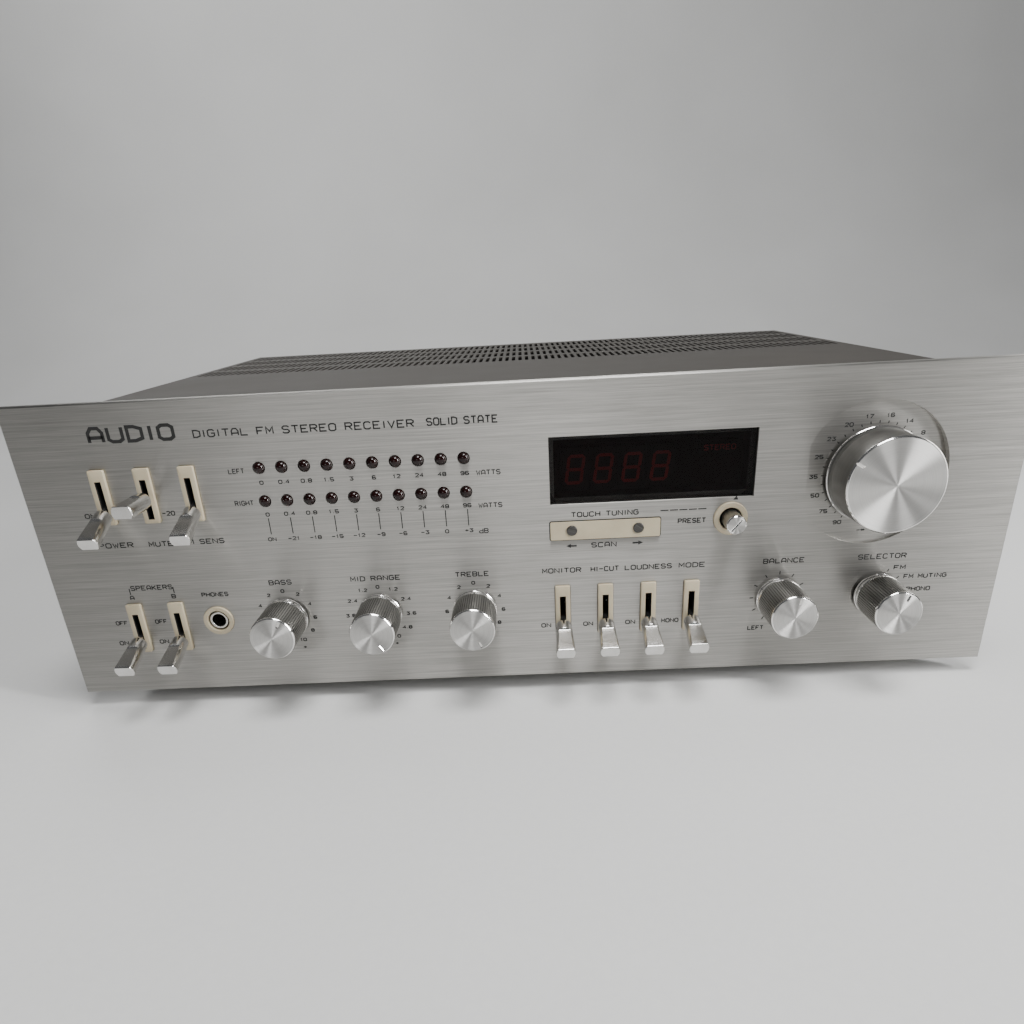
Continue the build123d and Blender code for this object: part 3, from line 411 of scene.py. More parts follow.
mount_piece("screw_recesses", settle(bm, "screw_recesses"), [shadowed], "case")


# ---------------------------------------------------------------------------
# Cover
# One steel sheet folded over the chassis, punched with rows of slots, sprayed
# in a dark bronze-grey satin paint with a faint orange-peel.
# ---------------------------------------------------------------------------

cover_paint = finish(
    "bronze_grey_paint", mottle, metallic=0.1, bump=0.22, bump_depth=0.03 * MM,
    shader={"Specular IOR Level": 0.4},
    cloud_scale=12.0, grain_scale=1500.0,
    colours=((0.030, 0.0265, 0.0225), (0.045, 0.040, 0.034)),
    roughness=(0.46, 0.58),
)
dress(cover_paint, "top_cover")


# ---------------------------------------------------------------------------
# Fascia
# Extruded aluminium plate, brushed from side to side and clear anodised, its
# front edges milled bright. A shallow tilted dish is milled for the volume dial.
# ---------------------------------------------------------------------------

FASCIA_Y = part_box("front_panel")[0].y
brushed_fascia = finish(
    "brushed_fascia", lines, metallic=1.0, bump=0.22, bump_depth=0.02 * MM,
    shader={"Anisotropic": 0.95},
    along=(0.010, 0.2, 1.0), line_scale=4200.0,
    colours=((0.36, 0.35, 0.33), (0.60, 0.585, 0.555)),
    roughness=(0.40, 0.50),
)
BRUSH_LINE = (1.0, 0.001, 0.002)


def brush_across(material, line):
    """Spreads reflections at right angles to the brush line, within the surface."""
    tree = material.node_tree
    facing = wire(tree, "NewGeometry").outputs["Normal"]
    across = wire(tree, "VectorMath", {"operation": "CROSS_PRODUCT"}, i0=facing, i1=line)
    tree.links.new(across.outputs[0], tree.nodes["Principled BSDF"].inputs["Tangent"])


brush_across(brushed_fascia, BRUSH_LINE)
dress(brushed_fascia, "front_panel")


# ---------------------------------------------------------------------------
# Lever switches
# Cream bezels pressed in the fascia, and bright die-cast bat handles on steel
# blades. Each lever rocks on a pin behind the sub-panel.
# ---------------------------------------------------------------------------

cream = finish(
    "cream_moulded_plastic", mottle, bump=0.25,
    cloud_scale=90.0, grain_scale=3500.0,
    colours=((0.42, 0.36, 0.25), (0.52, 0.45, 0.32)),
    roughness=(0.38, 0.52),
    shader={"Subsurface Weight": 0.08, "Subsurface Scale": 1.0 * MM},
)
dress(cream, "touch_plate", "bezel_rings")
# painted shade: the slot walls of the cream bezels are coloured near black for the shade deep in
# the slots
slot_painted_shade = finish(
    "slot_wall_painted_shade", mottle, cloud_scale=300.0, grain_scale=3000.0,
    colours=((0.004, 0.004, 0.004), (0.010, 0.009, 0.009)),
    roughness=(0.6, 0.8))

UPPER_XS = (-184, -164, -144)
LOWER_XS = (-184, -164, 19.5, 39.5, 59.5, 79.5)
UPPER_BEZEL_Z = 99.0
LOWER_BEZEL_Z = 34.6
BEZEL_W, BEZEL_H = 7.0, 25.0
SLOT_W, SLOT_H, SLOT_DROP = 2.8, 18.0, 1.6
CORNER_STEPS = 4


def rounded_loop(x, z, width, height, radius):
    """Outline of a rectangle with rounded corners, in millimetres."""
    loop = []
    for quarter, (u, v) in enumerate(((1, 1), (-1, 1), (-1, -1), (1, -1))):
        for step in range(CORNER_STEPS):
            turn = pi / 2 * (quarter + step / (CORNER_STEPS - 1))
            loop.append((x + u * (width / 2 - radius) + radius * cos(turn),
                         z + v * (height / 2 - radius) + radius * sin(turn)))
    return loop


def loop_tube(bm, loops):
    """Closed solid ring through (outline, depth behind the fascia, finish) loops."""
    rings = []
    for outline, depth, finish_index in loops:
        rings.append(([bm.verts.new((x * MM, FASCIA_Y + depth * MM, FOOT_Z + z * MM))
                       for x, z in outline], finish_index))
    for index, (near, _) in enumerate(rings):
        far, finish_index = rings[(index + 1) % len(rings)]
        for step in range(len(near)):
            following = (step + 1) % len(near)
            face = bm.faces.new((near[step], near[following], far[following], far[step]))
            face.material_index = finish_index


bm = bmesh.new()
for xs, z in ((UPPER_XS, UPPER_BEZEL_Z), (LOWER_XS, LOWER_BEZEL_Z)):
    for x in xs:
        slot_z = z - SLOT_DROP
        loop_tube(bm, [
            (rounded_loop(x, z, BEZEL_W, BEZEL_H, 0.5), 4.0, 0),
            (rounded_loop(x, z, BEZEL_W, BEZEL_H, 0.5), -1.15, 0),
            (rounded_loop(x, z, BEZEL_W - 0.2, BEZEL_H - 0.2, 0.5), -1.42, 0),
            (rounded_loop(x, z, BEZEL_W - 0.7, BEZEL_H - 0.7, 0.4), -1.5, 0),
            (rounded_loop(x, slot_z, SLOT_W + 0.1, SLOT_H + 0.1, 0.2), -1.5, 0),
            (rounded_loop(x, slot_z, SLOT_W, SLOT_H, 0.15), -1.4, 0),
            (rounded_loop(x, slot_z, SLOT_W, SLOT_H, 0.15), 4.0, 1),
        ])
bezels = mount_piece("lever_bezels", settle(bm, "lever_bezels"), [cream, slot_painted_shade], "case")
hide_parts("switch_bezels")

bat_finish = finish(
    "bright_die_cast_lever", mottle, metallic=1.0, bump=0.04,
    cloud_scale=160.0, grain_scale=1800.0,
    colours=((0.60, 0.59, 0.57), (0.74, 0.73, 0.71)),
    roughness=(0.14, 0.24),
)
UPPER_DROP = 23.5
LOWER_DROP = 18.5
LEVER_DROPS = {
    "power": UPPER_DROP, "mute": 0.0, "sens": UPPER_DROP,
    "speaker_a": LOWER_DROP, "speaker_b": LOWER_DROP, "monitor": LOWER_DROP,
    "hi_cut": LOWER_DROP, "loudness": LOWER_DROP, "mode": LOWER_DROP,
}
# along the handle from its pivot: (distance, radius, half thickness across the flats)
BAT_STATIONS = [
    (16.45, 3.15, 3.14), (16.55, 3.45, 3.44), (16.8, 3.68, 3.67), (17.1, 3.77, 3.76),
    (20.0, 3.89, 3.88), (22.0, 3.97, 3.96), (22.3, 3.98, 3.85), (22.5, 3.99, 3.50),
    (22.75, 4.00, 3.16), (23.1, 4.02, 3.06), (26.0, 4.13, 3.00), (29.0, 4.25, 2.95),
    (32.0, 4.36, 2.90), (34.6, 4.46, 2.85), (35.0, 4.47, 2.82), (35.3, 4.40, 2.74),
    (35.5, 4.22, 2.58),
]
SIDE_POINTS = 13
FLAT_POINTS = 5


def bat_ring(radius, half):
    """Section of the handle: a circle with a flat above and below."""
    edge = min(half / radius, 0.995)
    limit = atan2(edge, (1 - edge * edge) ** 0.5)
    ring = []
    for sign in (1, -1):
        for step in range(SIDE_POINTS):
            turn = sign * (-limit + 2 * limit * step / (SIDE_POINTS - 1))
            ring.append((sign * radius * cos(turn), radius * sin(turn)))
        start = sign * radius * cos(limit)
        for step in range(1, FLAT_POINTS + 1):
            part = step / (FLAT_POINTS + 1)
            ring.append((start * (1 - 2 * part), sign * radius * sin(limit)))
    return ring


def bat_mesh(name):
    """Bat handle and blade, local -Y along the handle from the pivot at the origin."""
    bm = bmesh.new()
    rings = []
    for distance, radius, half in BAT_STATIONS:
        rings.append([bm.verts.new((x * MM, -distance * MM, z * MM))
                      for x, z in bat_ring(radius, half)])
    for near, far in zip(rings, rings[1:]):
        for step in range(len(near)):
            following = (step + 1) % len(near)
            bm.faces.new((near[step], near[following], far[following], far[step]))
    bm.faces.new(rings[0])
    bm.faces.new(rings[-1])
    blade = bmesh.ops.create_cube(bm, size=1.0)["verts"]
    bmesh.ops.scale(bm, verts=blade, vec=(2.2 * MM, 18.4 * MM, 3.6 * MM))
    bmesh.ops.translate(bm, verts=blade, vec=(0, -7.4 * MM, 0))
    blade_edges = {edge for vert in blade for edge in vert.link_edges}
    bmesh.ops.bevel(bm, geom=list(blade_edges), offset=0.3 * MM, segments=2, affect="EDGES")
    return settle(bm, name)


joint_places = {joint["child"]: Vector(joint["pos_m"]) for joint in frame["joints"]}
for switch, drop in LEVER_DROPS.items():
    mesh = bat_mesh(f"{switch}_bat")
    mesh.transform(Matrix.Rotation(radians(drop), 4, "X"))
    bat = mount_piece(f"{switch}_bat", mesh, [bat_finish], f"{switch}_switch",
                      location=joint_places[f"{switch}_switch"], sharp=38)
    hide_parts(f"{switch}_lever")


# ---------------------------------------------------------------------------
# Knobs
# Turned from aluminium bar: two bright rings at the foot, fine straight knurl,
# diamond-cut rim and a spun flat face with a milled pointer groove.
# ---------------------------------------------------------------------------

# turning marks: rings about the axis of the piece
rings_effect, into, out = effect_group(
    "turning_rings", [("Ring Scale", "Float", 3000.0), *TONE_SOCKETS], TONE_RESULTS)
place = wire(rings_effect, "TexCoord").outputs["Object"]
parts = wire(rings_effect, "SeparateXYZ", Vector=place).outputs
across = wire(rings_effect, "CombineXYZ", X=parts["X"], Y=parts["Z"])
radius = wire(rings_effect, "VectorMath", {"operation": "LENGTH"}, i0=across.outputs[0])
along = wire(rings_effect, "CombineXYZ", X=radius.outputs["Value"], Y=parts["Y"])
ring = wire(rings_effect, "TexNoise", Vector=along.outputs[0], Scale=into["Ring Scale"], Detail=3.0)
cloud = wire(rings_effect, "TexNoise", Vector=place, Scale=180.0, Detail=3.0)
both = wire(rings_effect, "Math", {"operation": "MULTIPLY_ADD"}, i0=cloud.outputs[0], i1=0.4)
rings_effect.links.new(ring.outputs[0], both.inputs[2])
spread = wire(rings_effect, "MapRange", Value=both.outputs[0])
spread.inputs["From Min"].default_value = 0.5
spread.inputs["From Max"].default_value = 0.95
close_tones(rings_effect, into, out, spread.outputs[0], ring.outputs[0])

spun_face = finish(
    "spun_knob_face", rings_effect, metallic=1.0, bump=0.02,
    shader={"Anisotropic": 1.0, "Anisotropic Rotation": 0.25},
    ring_scale=3000.0,
    colours=((0.60, 0.59, 0.57), (0.70, 0.69, 0.67)),
    roughness=(0.46, 0.50),
)
turned_ring = wire(spun_face.node_tree, "Tangent", {"direction_type": "RADIAL", "axis": "Y"})
spun_face.node_tree.links.new(
    turned_ring.outputs[0], spun_face.node_tree.nodes["Principled BSDF"].inputs["Tangent"])
knurled_side = finish(
    "knurled_aluminium", mottle, metallic=1.0, bump=0.10,
    cloud_scale=60.0, grain_scale=2500.0,
    colours=((0.33, 0.325, 0.31), (0.37, 0.365, 0.35)),
    roughness=(0.28, 0.33),
)
cut_rim = finish(
    "diamond_cut_rim", rings_effect, metallic=1.0, bump=0.05, ring_scale=1500.0,
    colours=((0.80, 0.79, 0.77), (0.93, 0.92, 0.90)),
    roughness=(0.08, 0.16),
)
# painted shade: the walls of each knurl groove take this much darker copy of the aluminium, for the
# shade in the grooves
groove_painted_shade = finish(
    "knurl_groove_painted_shade", mottle, metallic=1.0, bump=0.05,
    cloud_scale=80.0, grain_scale=3000.0,
    colours=((0.085, 0.083, 0.08), (0.12, 0.118, 0.112)),
    roughness=(0.40, 0.50),
)
KNOB_FINISHES = [knurled_side, spun_face, cut_rim, groove_painted_shade]
SIDE, FACE, RIM, GROOVE_SHADE = 0, 1, 2, 3
FLUTES = 60
FLUTE_STEPS = 8
FLUTE_DEPTH = 0.25 * MM
# (radius, reach in front of the fascia, fluted, finish)
KNOB_PROFILE = [
    (0, 1.5, 0, SIDE), (9.6, 1.5, 0, SIDE), (10.2, 1.5, 0, RIM), (10.4, 1.7, 0, RIM),
    (10.4, 2.6, 0, RIM), (10.2, 2.8, 0, RIM), (9.7, 2.9, 0, SIDE), (9.7, 3.3, 0, SIDE),
    (10.1, 3.4, 0, RIM), (10.4, 3.7, 0, RIM), (10.4, 4.6, 0, RIM), (10.15, 5.0, 0, RIM),
    (10.1, 5.1, 1, SIDE), (10.25, 5.3, 1, SIDE), (10.25, 22.6, 1, SIDE), (10.1, 23.0, 0, RIM),
    (10.15, 23.2, 0, RIM), (9.75, 23.75, 0, RIM), (9.6, 23.85, 0, FACE), (9.4, 23.87, 0, FACE),
    (5.0, 23.87, 0, FACE), (0, 23.87, 0, FACE),
]


def cut_pointer(piece, turn, inner, outer, width, face):
    """Mills a V groove in a knob's face: turn is clockwise from the top, in degrees."""
    bm = bmesh.new()
    half = width / 2
    section = [(-half, 0.05 * MM), (half, 0.05 * MM), (0, -half)]
    ends = []
    for reach in (inner, outer):
        ends.append([bm.verts.new((u, -(face + v), reach)) for u, v in section])
    bm.faces.new(ends[0])
    bm.faces.new(ends[1])
    for step in range(3):
        following = (step + 1) % 3
        bm.faces.new((ends[0][step], ends[0][following], ends[1][following], ends[1][step]))
    mesh = settle(bm, "pointer_cutter")
    for material in piece.data.materials:
        mesh.materials.append(material)
    for face_cut in mesh.polygons:
        face_cut.material_index = RIM
    cutter = bpy.data.objects.new("pointer_cutter", mesh)
    bpy.context.scene.collection.objects.link(cutter)
    cutter.matrix_world = piece.matrix_world @ Matrix.Rotation(radians(turn), 4, "Y")
    cut = piece.modifiers.new("pointer", "BOOLEAN")
    cut.object = cutter
    cut.solver = "EXACT"
    bpy.context.view_layer.update()
    result = bpy.data.meshes.new_from_object(
        piece.evaluated_get(bpy.context.evaluated_depsgraph_get()))
    piece.modifiers.clear()
    old = piece.data
    piece.data = result
    result.name = piece.name
    bpy.data.meshes.remove(old)
    bpy.data.objects.remove(cutter)


def control_centre(node):
    """Point where a control's axis meets the fascia."""
    low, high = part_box(node)
    return Vector(((low.x + high.x) / 2, FASCIA_Y, (low.z + high.z) / 2))


def in_metres(profile):
    """Profile given in millimetres, in metres."""
    return [(radius * MM, reach * MM, fluted, index) for radius, reach, fluted, index in profile]


KNOB_TURNS = {"bass": 30, "mid": 149, "treble": 156, "balance": 12, "selector": 22}
for knob, turn in KNOB_TURNS.items():
    mesh = turned_mesh(f"{knob}_dial", in_metres(KNOB_PROFILE), FLUTES * FLUTE_STEPS,
                       FLUTES, FLUTE_DEPTH, GROOVE_SHADE)
    dial = mount_piece(f"{knob}_dial", mesh, KNOB_FINISHES, f"{knob}_control",
                       location=control_centre(f"{knob}_knob"), sharp=28)
    cut_pointer(dial, turn, 6.2 * MM, 9.3 * MM, 1.1 * MM, 23.87 * MM)
    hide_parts(f"{knob}_knob")

# large volume knob: satin turned side, three grooves above a narrow bright skirt
polished_side = finish(
    "polished_knob_side", rings_effect, metallic=1.0, bump=0.08,
    ring_scale=900.0,
    colours=((0.25, 0.245, 0.235), (0.29, 0.285, 0.27)),
    roughness=(0.36, 0.44),
)
VOLUME_PROFILE = [
    (0, 1.5, 0, SIDE), (20.8, 1.5, 0, SIDE), (21.2, 1.6, 0, RIM), (21.2, 2.3, 0, RIM),
    (21.0, 2.5, 0, RIM), (20.2, 2.6, 0, SIDE), (20.2, 2.9, 0, SIDE), (20.5, 3.0, 0, SIDE),
    (20.5, 3.5, 0, SIDE), (20.0, 3.6, 0, SIDE), (20.0, 3.8, 0, SIDE), (20.5, 3.9, 0, SIDE),
    (20.5, 4.4, 0, SIDE), (20.0, 4.5, 0, SIDE), (20.0, 4.7, 0, SIDE), (20.5, 4.8, 0, SIDE),
    (20.5, 5.3, 0, SIDE), (20.0, 5.4, 0, SIDE), (20.0, 5.6, 0, SIDE), (20.5, 5.7, 0, SIDE),
    (20.5, 20.6, 0, SIDE), (20.45, 20.7, 0, RIM), (20.0, 21.25, 0, RIM), (19.8, 21.3, 0, RIM),
    (19.6, 21.3, 0, FACE), (10.0, 21.3, 0, FACE), (0, 21.3, 0, FACE),
]
VOLUME_TURN = -60
mesh = turned_mesh("volume_dial", in_metres(VOLUME_PROFILE), 180)
volume = mount_piece("volume_dial", mesh, [polished_side, spun_face, cut_rim], "volume_control",
                     location=control_centre("volume_knob"), sharp=28)
cut_pointer(volume, VOLUME_TURN, 16.5 * MM, 20.8 * MM, 1.3 * MM, 21.3 * MM)
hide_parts("volume_knob")

# preset trimmer knob, with a screwdriver slot across its end
PRESET_PROFILE = [
    (0, -3.0, 0, SIDE), (4.0, -3.0, 0, SIDE), (4.1, -2.8, 0, SIDE), (4.1, 9.8, 1, SIDE),
    (4.3, 9.9, 0, RIM), (4.25, 10.6, 0, RIM), (3.9, 10.95, 0, RIM), (3.7, 10.95, 0, FACE),
    (0, 10.95, 0, FACE),
]
mesh = turned_mesh("preset_dial", in_metres(PRESET_PROFILE), 120, 24, 0.15 * MM, GROOVE_SHADE)
preset = mount_piece("preset_dial", mesh, KNOB_FINISHES, "preset_control",
                     location=control_centre("preset_knob"), sharp=28)
cut_pointer(preset, 40, -3.4 * MM, 3.4 * MM, 0.9 * MM, 10.95 * MM)
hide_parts("preset_knob")


# ---------------------------------------------------------------------------
# Power meter lamps
# Twenty 5 mm lamps moulded in dark red epoxy, pushed through the fascia from
# the lamp board in two rows, one for each channel.
# ---------------------------------------------------------------------------

lamp_finish = finish(
    "dark_red_lamp", mottle, bump=0.02,
    shader={"IOR": 1.5, "Specular IOR Level": 0.4},
    cloud_scale=250.0, grain_scale=1500.0,
    colours=((0.005, 0.0010, 0.0009), (0.012, 0.0018, 0.0016)),
    roughness=(0.03, 0.05),
)
LAMP_R = 2.5
LAMP_STEPS = 7
lamp_profile = [(0, -8.0, 0, 0), (LAMP_R, -8.0, 0, 0), (LAMP_R, -0.4, 0, 0)]
for step in range(1, LAMP_STEPS):
    turn = pi / 2 * step / LAMP_STEPS
    lamp_profile.append((LAMP_R * cos(turn), -0.4 + 2.35 * sin(turn), 0, 0))
lamp_profile.append((0, 1.95, 0, 0))
one_lamp = turned_mesh("lamp", in_metres(lamp_profile), 36)
lamp_low, lamp_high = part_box("led_lamps")
LAMP_COLUMNS = [lamp_low.x + LAMP_R * MM + 10 * MM * column for column in range(10)]
for channel, z in (("left", lamp_high.z - LAMP_R * MM), ("right", lamp_low.z + LAMP_R * MM)):
    spots = [Vector((x, FASCIA_Y, z)) for x in LAMP_COLUMNS]
    lamps = mount_piece(f"{channel}_lamps", spots_mesh(f"{channel}_lamps", one_lamp, spots),
                        [lamp_finish], "case")
    if channel == "left":
        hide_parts("led_lamps")
bpy.data.meshes.remove(one_lamp)


# ---------------------------------------------------------------------------
# Display
# Smoked red acrylic window. Behind it, four unlit seven-segment modules with slanted bars in black
# cases, and the stereo legend.
# ---------------------------------------------------------------------------

smoked = finish(
    "smoked_acrylic", mottle, bump=0.01,
    shader={"Alpha": 0.62, "Specular IOR Level": 0.10},
    cloud_scale=25.0, grain_scale=400.0,
    colours=((0.0010, 0.0005, 0.0005), (0.0022, 0.0008, 0.0008)),
    roughness=(0.05, 0.09),
)
dress(smoked, "display_window")
mask_black = finish(
    "black_display_mask", mottle, cloud_scale=200.0, grain_scale=3000.0,
    colours=((0.002, 0.002, 0.002), (0.005, 0.005, 0.005)),
    roughness=(0.7, 0.9))
dress(mask_black, "display_board", "display_housing")

segment_finish = finish(
    "unlit_red_segment", mottle, cloud_scale=500.0, grain_scale=3000.0,
    colours=((0.60, 0.010, 0.012), (0.80, 0.014, 0.016)),
    roughness=(0.4, 0.6),
)
MODULE_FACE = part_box("digit_modules")[0].y
DIGIT_XS = (26.7, 39.3, 51.9, 64.5)
DIGIT_Z = 100.0
DIGIT_W = 6.6
DIGIT_H = 12.0
DIGIT_SLANT = 0.14
BAR = 1.4
DIGIT_CASE_HALF = (6.1, 9.5)
LEGEND_X, LEGEND_Z = 90.3, 107
LEGEND_CASE_HALF = (8.5, 3)


def prism(bm, outline, near, far):
    """Closed prism between two depths, from an outline of (x, z)."""
    face = bm.faces.new([bm.verts.new((x, near, z)) for x, z in outline])
    grown = bmesh.ops.extrude_face_region(bm, geom=[face])
    moved = [v for v in grown["geom"] if isinstance(v, bmesh.types.BMVert)]
    bmesh.ops.translate(bm, verts=moved, vec=(0, far - near, 0))


def bar_outline(start, end, half):
    """Six-sided outline of one display bar."""
    a, b = Vector(start), Vector(end)
    run = (b - a).normalized()
    side = Vector((-run.y, run.x)) * half
    tip = run * half
    return [a, a + tip + side, b - tip + side, b, b - tip - side, a + tip - side]


def module_case(bm, x, z, half_w, half_h):
    """Flat black case of a display module, centred on a point in millimetres."""
    prism(bm, [((x + u * half_w) * MM, FOOT_Z + (z + v * half_h) * MM)
               for u, v in ((-1, -1), (1, -1), (1, 1), (-1, 1))], MODULE_FACE, module_back)


case_mesh = bmesh.new()
bars = bmesh.new()
module_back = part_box("digit_modules")[1].y
for x in DIGIT_XS:
    module_case(case_mesh, x, DIGIT_Z, *DIGIT_CASE_HALF)
    w, h = DIGIT_W / 2, DIGIT_H / 2
    for start, end in (((-w, h), (w, h)), ((-w, 0), (w, 0)), ((-w, -h), (w, -h)),
                       ((-w, 0), (-w, h)), ((w, 0), (w, h)), ((-w, -h), (-w, 0)),
                       ((w, -h), (w, 0))):
        outline = []
        for corner in bar_outline(start, end, BAR / 2):
            slanted = corner.x + DIGIT_SLANT * corner.y
            outline.append(((x + slanted) * MM, FOOT_Z + (DIGIT_Z + corner.y) * MM))
        prism(bars, outline, MODULE_FACE - 0.15 * MM, MODULE_FACE + 0.3 * MM)
module_case(case_mesh, LEGEND_X, LEGEND_Z, *LEGEND_CASE_HALF)
for name, shape, material, slot_name in (
        ("digit_cases", case_mesh, mask_black, "black_plastic"),
        ("digit_bars", bars, segment_finish, "red_lens")):
    piece = mount_piece(name, settle(shape, name), [material], "case")
    if name == "digit_cases":
        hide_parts("digit_modules")


# ---------------------------------------------------------------------------
# Touch contacts and headphone jack
# Nickel-plated studs in the cream touch plate, and a plated threaded bush for
# the 6.35 mm plug, its inside dark.
# ---------------------------------------------------------------------------

dress(plated, "headphone_jack")
# the touch contact studs are coloured far darker than the plated bush
dress(finish(
    "dark_contact_stud", rings_effect, metallic=1.0, ring_scale=2000.0, bump=0.3,
    colours=((0.06, 0.058, 0.055), (0.14, 0.135, 0.13)),
    roughness=(0.3, 0.5)), "touch_contacts")


# ---------------------------------------------------------------------------
# Printed lettering
# Black screen-printed ink on the fascia, and white on the rear panel; the black line round the
# touch plate is painted shade in its gap. Letters are single strokes of even width, in a wide plain
# style.
# ---------------------------------------------------------------------------

INK_T = 0.03 * MM
INK_SUNK = 0.02 * MM
PEN = 0.50
# strokes on a grid 4 wide and 6 high: each pair of digits is a point, | lifts the pen
LETTERS = {
    "A": "00 04 16 36 44 40|02 42", "B": "00 06 36 45 44 33 03|33 42 41 30 00",
    "C": "45 36 16 05 01 10 30 41", "D": "00 06 26 45 41 20 00", "E": "40 00 06 46|03 33",
    "F": "00 06 46|03 33", "G": "45 36 16 05 01 10 30 41 43 23", "H": "00 06|40 46|03 43",
    "I": "20 26", "J": "46 41 30 10 01", "K": "00 06|46 13|03 13 40", "L": "06 00 40",
    "M": "00 06 22 46 40", "N": "00 06 40 46", "O": "10 30 41 45 36 16 05 01 10",
    "P": "00 06 36 45 44 33 03", "Q": "10 30 41 45 36 16 05 01 10|22 40",
    "R": "00 06 36 45 44 33 03|23 40", "S": "45 36 16 05 04 13 33 42 41 30 10 01",
    "T": "06 46|20 26", "U": "06 01 10 30 41 46", "V": "06 20 46", "W": "06 10 24 30 46",
    "X": "00 46|06 40", "Y": "06 23 46|23 20", "Z": "06 46 00 40",
    "0": "10 30 41 45 36 16 05 01 10", "1": "14 26 20", "2": "05 16 36 45 44 00 40",
    "3": "06 46 24 33 42 41 30 10 01", "4": "30 36 02 42",
    "5": "46 06 03 33 42 41 30 10 01", "6": "45 36 16 05 01 10 30 41 42 33 03",
    "7": "06 46 10", "8": "13 04 05 16 36 45 44 33 13 02 01 10 30 41 42 33",
    "9": "01 10 30 41 45 36 16 05 04 13 43", "+": "03 43|21 25", "-": "03 43",
    ".": "20 21", "d": "46 40 10 01 02 13 43", "~": "12 03 14 32 43 34 12",
    "<": "43 03 25|03 21", ">": "03 43 25|43 21", " ": "",
}
NARROW = {"I": 1.6, ".": 1.6, "1": 3.0, " ": 2.6}
GAP = 1.6


def letter_strokes(text):
    """Strokes of a word on the letter grid, and the word's width there."""
    pen_x, strokes = 0.0, []
    for letter in text:
        width = NARROW.get(letter, 4.0)
        for stroke in LETTERS[letter].split("|"):
            points = [(pen_x + (int(p[0]) - 2) + width / 2, float(p[1])) for p in stroke.split()]
            if points:
                strokes.append(points)
        pen_x += width + GAP
    return strokes, max(pen_x - GAP, 0.1)


def word(text, left, right, z, cap):
    """Strokes of a word that fills left to right, its middle at height z, in millimetres."""
    strokes, width = letter_strokes(text)
    across, up = (right - left) / width, cap / 6
    return [[(left + u * across, z + (v - 3) * up) for u, v in stroke] for stroke in strokes]


def numeral(text, x, z, cap=1.5, stretch=1.45):
    """Strokes of a short number centred on a point."""
    half = letter_strokes(text)[1] * cap / 6 * stretch / 2
    return word(text, x - half, x + half, z, cap)


def fascia_point(x, z, lift):
    """Point on the fascia's face, millimetres across and up, metres of lift towards the user."""
    return (x * MM, FASCIA_Y - lift, FOOT_Z + z * MM)


def rear_point(x, z, lift):
    """Point on the rear panel's face, x counted to the right as seen from behind."""
    return (-x * MM, REAR_FACE + lift, FOOT_Z + z * MM)


def print_ink(name, strokes, material, surface=fascia_point, pen=PEN):
    """Closed raised ribbons along the strokes, as one printed piece on a surface."""
    bm = bmesh.new()
    for stroke in strokes:
        points = [Vector(point) for point in stroke]
        closed = len(points) > 3 and (points[0] - points[-1]).length < 1e-6
        if closed:
            points.pop()
        count = len(points)
        sides = []
        for index, point in enumerate(points):
            before = points[(index - 1) % count] if closed or index else None
            after = points[(index + 1) % count] if closed or index < count - 1 else None
            runs = []
            if before is not None:
                runs.append((point - before).normalized())
            if after is not None:
                runs.append((after - point).normalized())
            normal = sum((Vector((-run.y, run.x)) for run in runs), Vector((0, 0)))
            if normal.length < 0.2:
                normal = Vector((-runs[0].y, runs[0].x))
            normal.normalize()
            square = max(0.55, normal.dot(Vector((-runs[0].y, runs[0].x))))
            reach = normal * (pen / 2 / square)
            corners = []
            for sign in (1, -1):
                edge = point + sign * reach
                corners.append(bm.verts.new(surface(edge.x, edge.y, INK_T)))
                corners.append(bm.verts.new(surface(edge.x, edge.y, -INK_SUNK)))
            sides.append(corners)
        spans = count if closed else count - 1
        for index in range(spans):
            a, b = sides[index], sides[(index + 1) % count]
            for i, j in ((0, 2), (2, 3), (3, 1), (1, 0)):
                bm.faces.new((a[i], a[j], b[j], b[i]))
        if not closed:
            bm.faces.new((sides[0][0], sides[0][1], sides[0][3], sides[0][2]))
            bm.faces.new((sides[-1][0], sides[-1][2], sides[-1][3], sides[-1][1]))
    return mount_piece(name, settle(bm, name), [material], "case")


black_ink = finish(
    "black_screen_ink", mottle, cloud_scale=300.0, grain_scale=5000.0,
    colours=((0.006, 0.006, 0.006), (0.016, 0.016, 0.015)),
    roughness=(0.6, 0.8))

# generic name line
print_ink("name_word", word("AUDIO", -183, -146, 126.4, 6.0), black_ink, pen=1.5)
print_ink("name_line", word("DIGITAL FM STEREO RECEIVER", -137.4, -42.2, 125.0, 2.9)
          + word("SOLID STATE", -36.5, -6.4, 125.2, 2.9), black_ink, pen=0.62)

# lever legends
lever_words = (
    word("POWER", -192.5, -176.5, 76.5, 2.1) + word("MUTE", -169, -158, 76.3, 2.1)
    + word("FM SENS", -153.5, -134.3, 76.6, 2.1) + word("-20", -159.4, -153.8, 90.5, 1.8)
    + word("ON", -194.6, -190, 90.8, 1.8) + word("SPEAKERS", -183.2, -163.6, 55.0, 2.05)
    + numeral("A", -183.8, 50.2, 1.8) + numeral("B", -163.9, 50.2, 1.8)
    + word("OFF", -195, -189.6, 37.4, 1.8) + word("OFF", -175.8, -170.4, 37.4, 1.8)
    + word("ON", -196, -191.8, 26.7, 1.8) + word("ON", -176.2, -172.0, 26.7, 1.8)
    + word("PHONES", -150.4, -138.0, 50.2, 1.8)
    + word("MONITOR", 10.5, 28.2, 54.6, 2.1) + word("HI-CUT", 32.9, 45.6, 54.6, 2.1)
    + word("LOUDNESS", 48.6, 69.9, 54.6, 2.1) + word("MODE", 73.4, 85.1, 54.6, 2.1)
    + word("ON", 9.2, 13.5, 26.8, 1.8) + word("ON", 29.2, 33.5, 26.8, 1.8)
    + word("ON", 49.2, 53.5, 26.8, 1.8) + word("MONO", 66.2, 74.0, 26.8, 1.8)
    + [[(-184.1, 51.8), (-184.1, 54.9)], [(-163.2, 51.8), (-163.2, 54.9)]]
)
print_ink("lever_words", lever_words, black_ink)

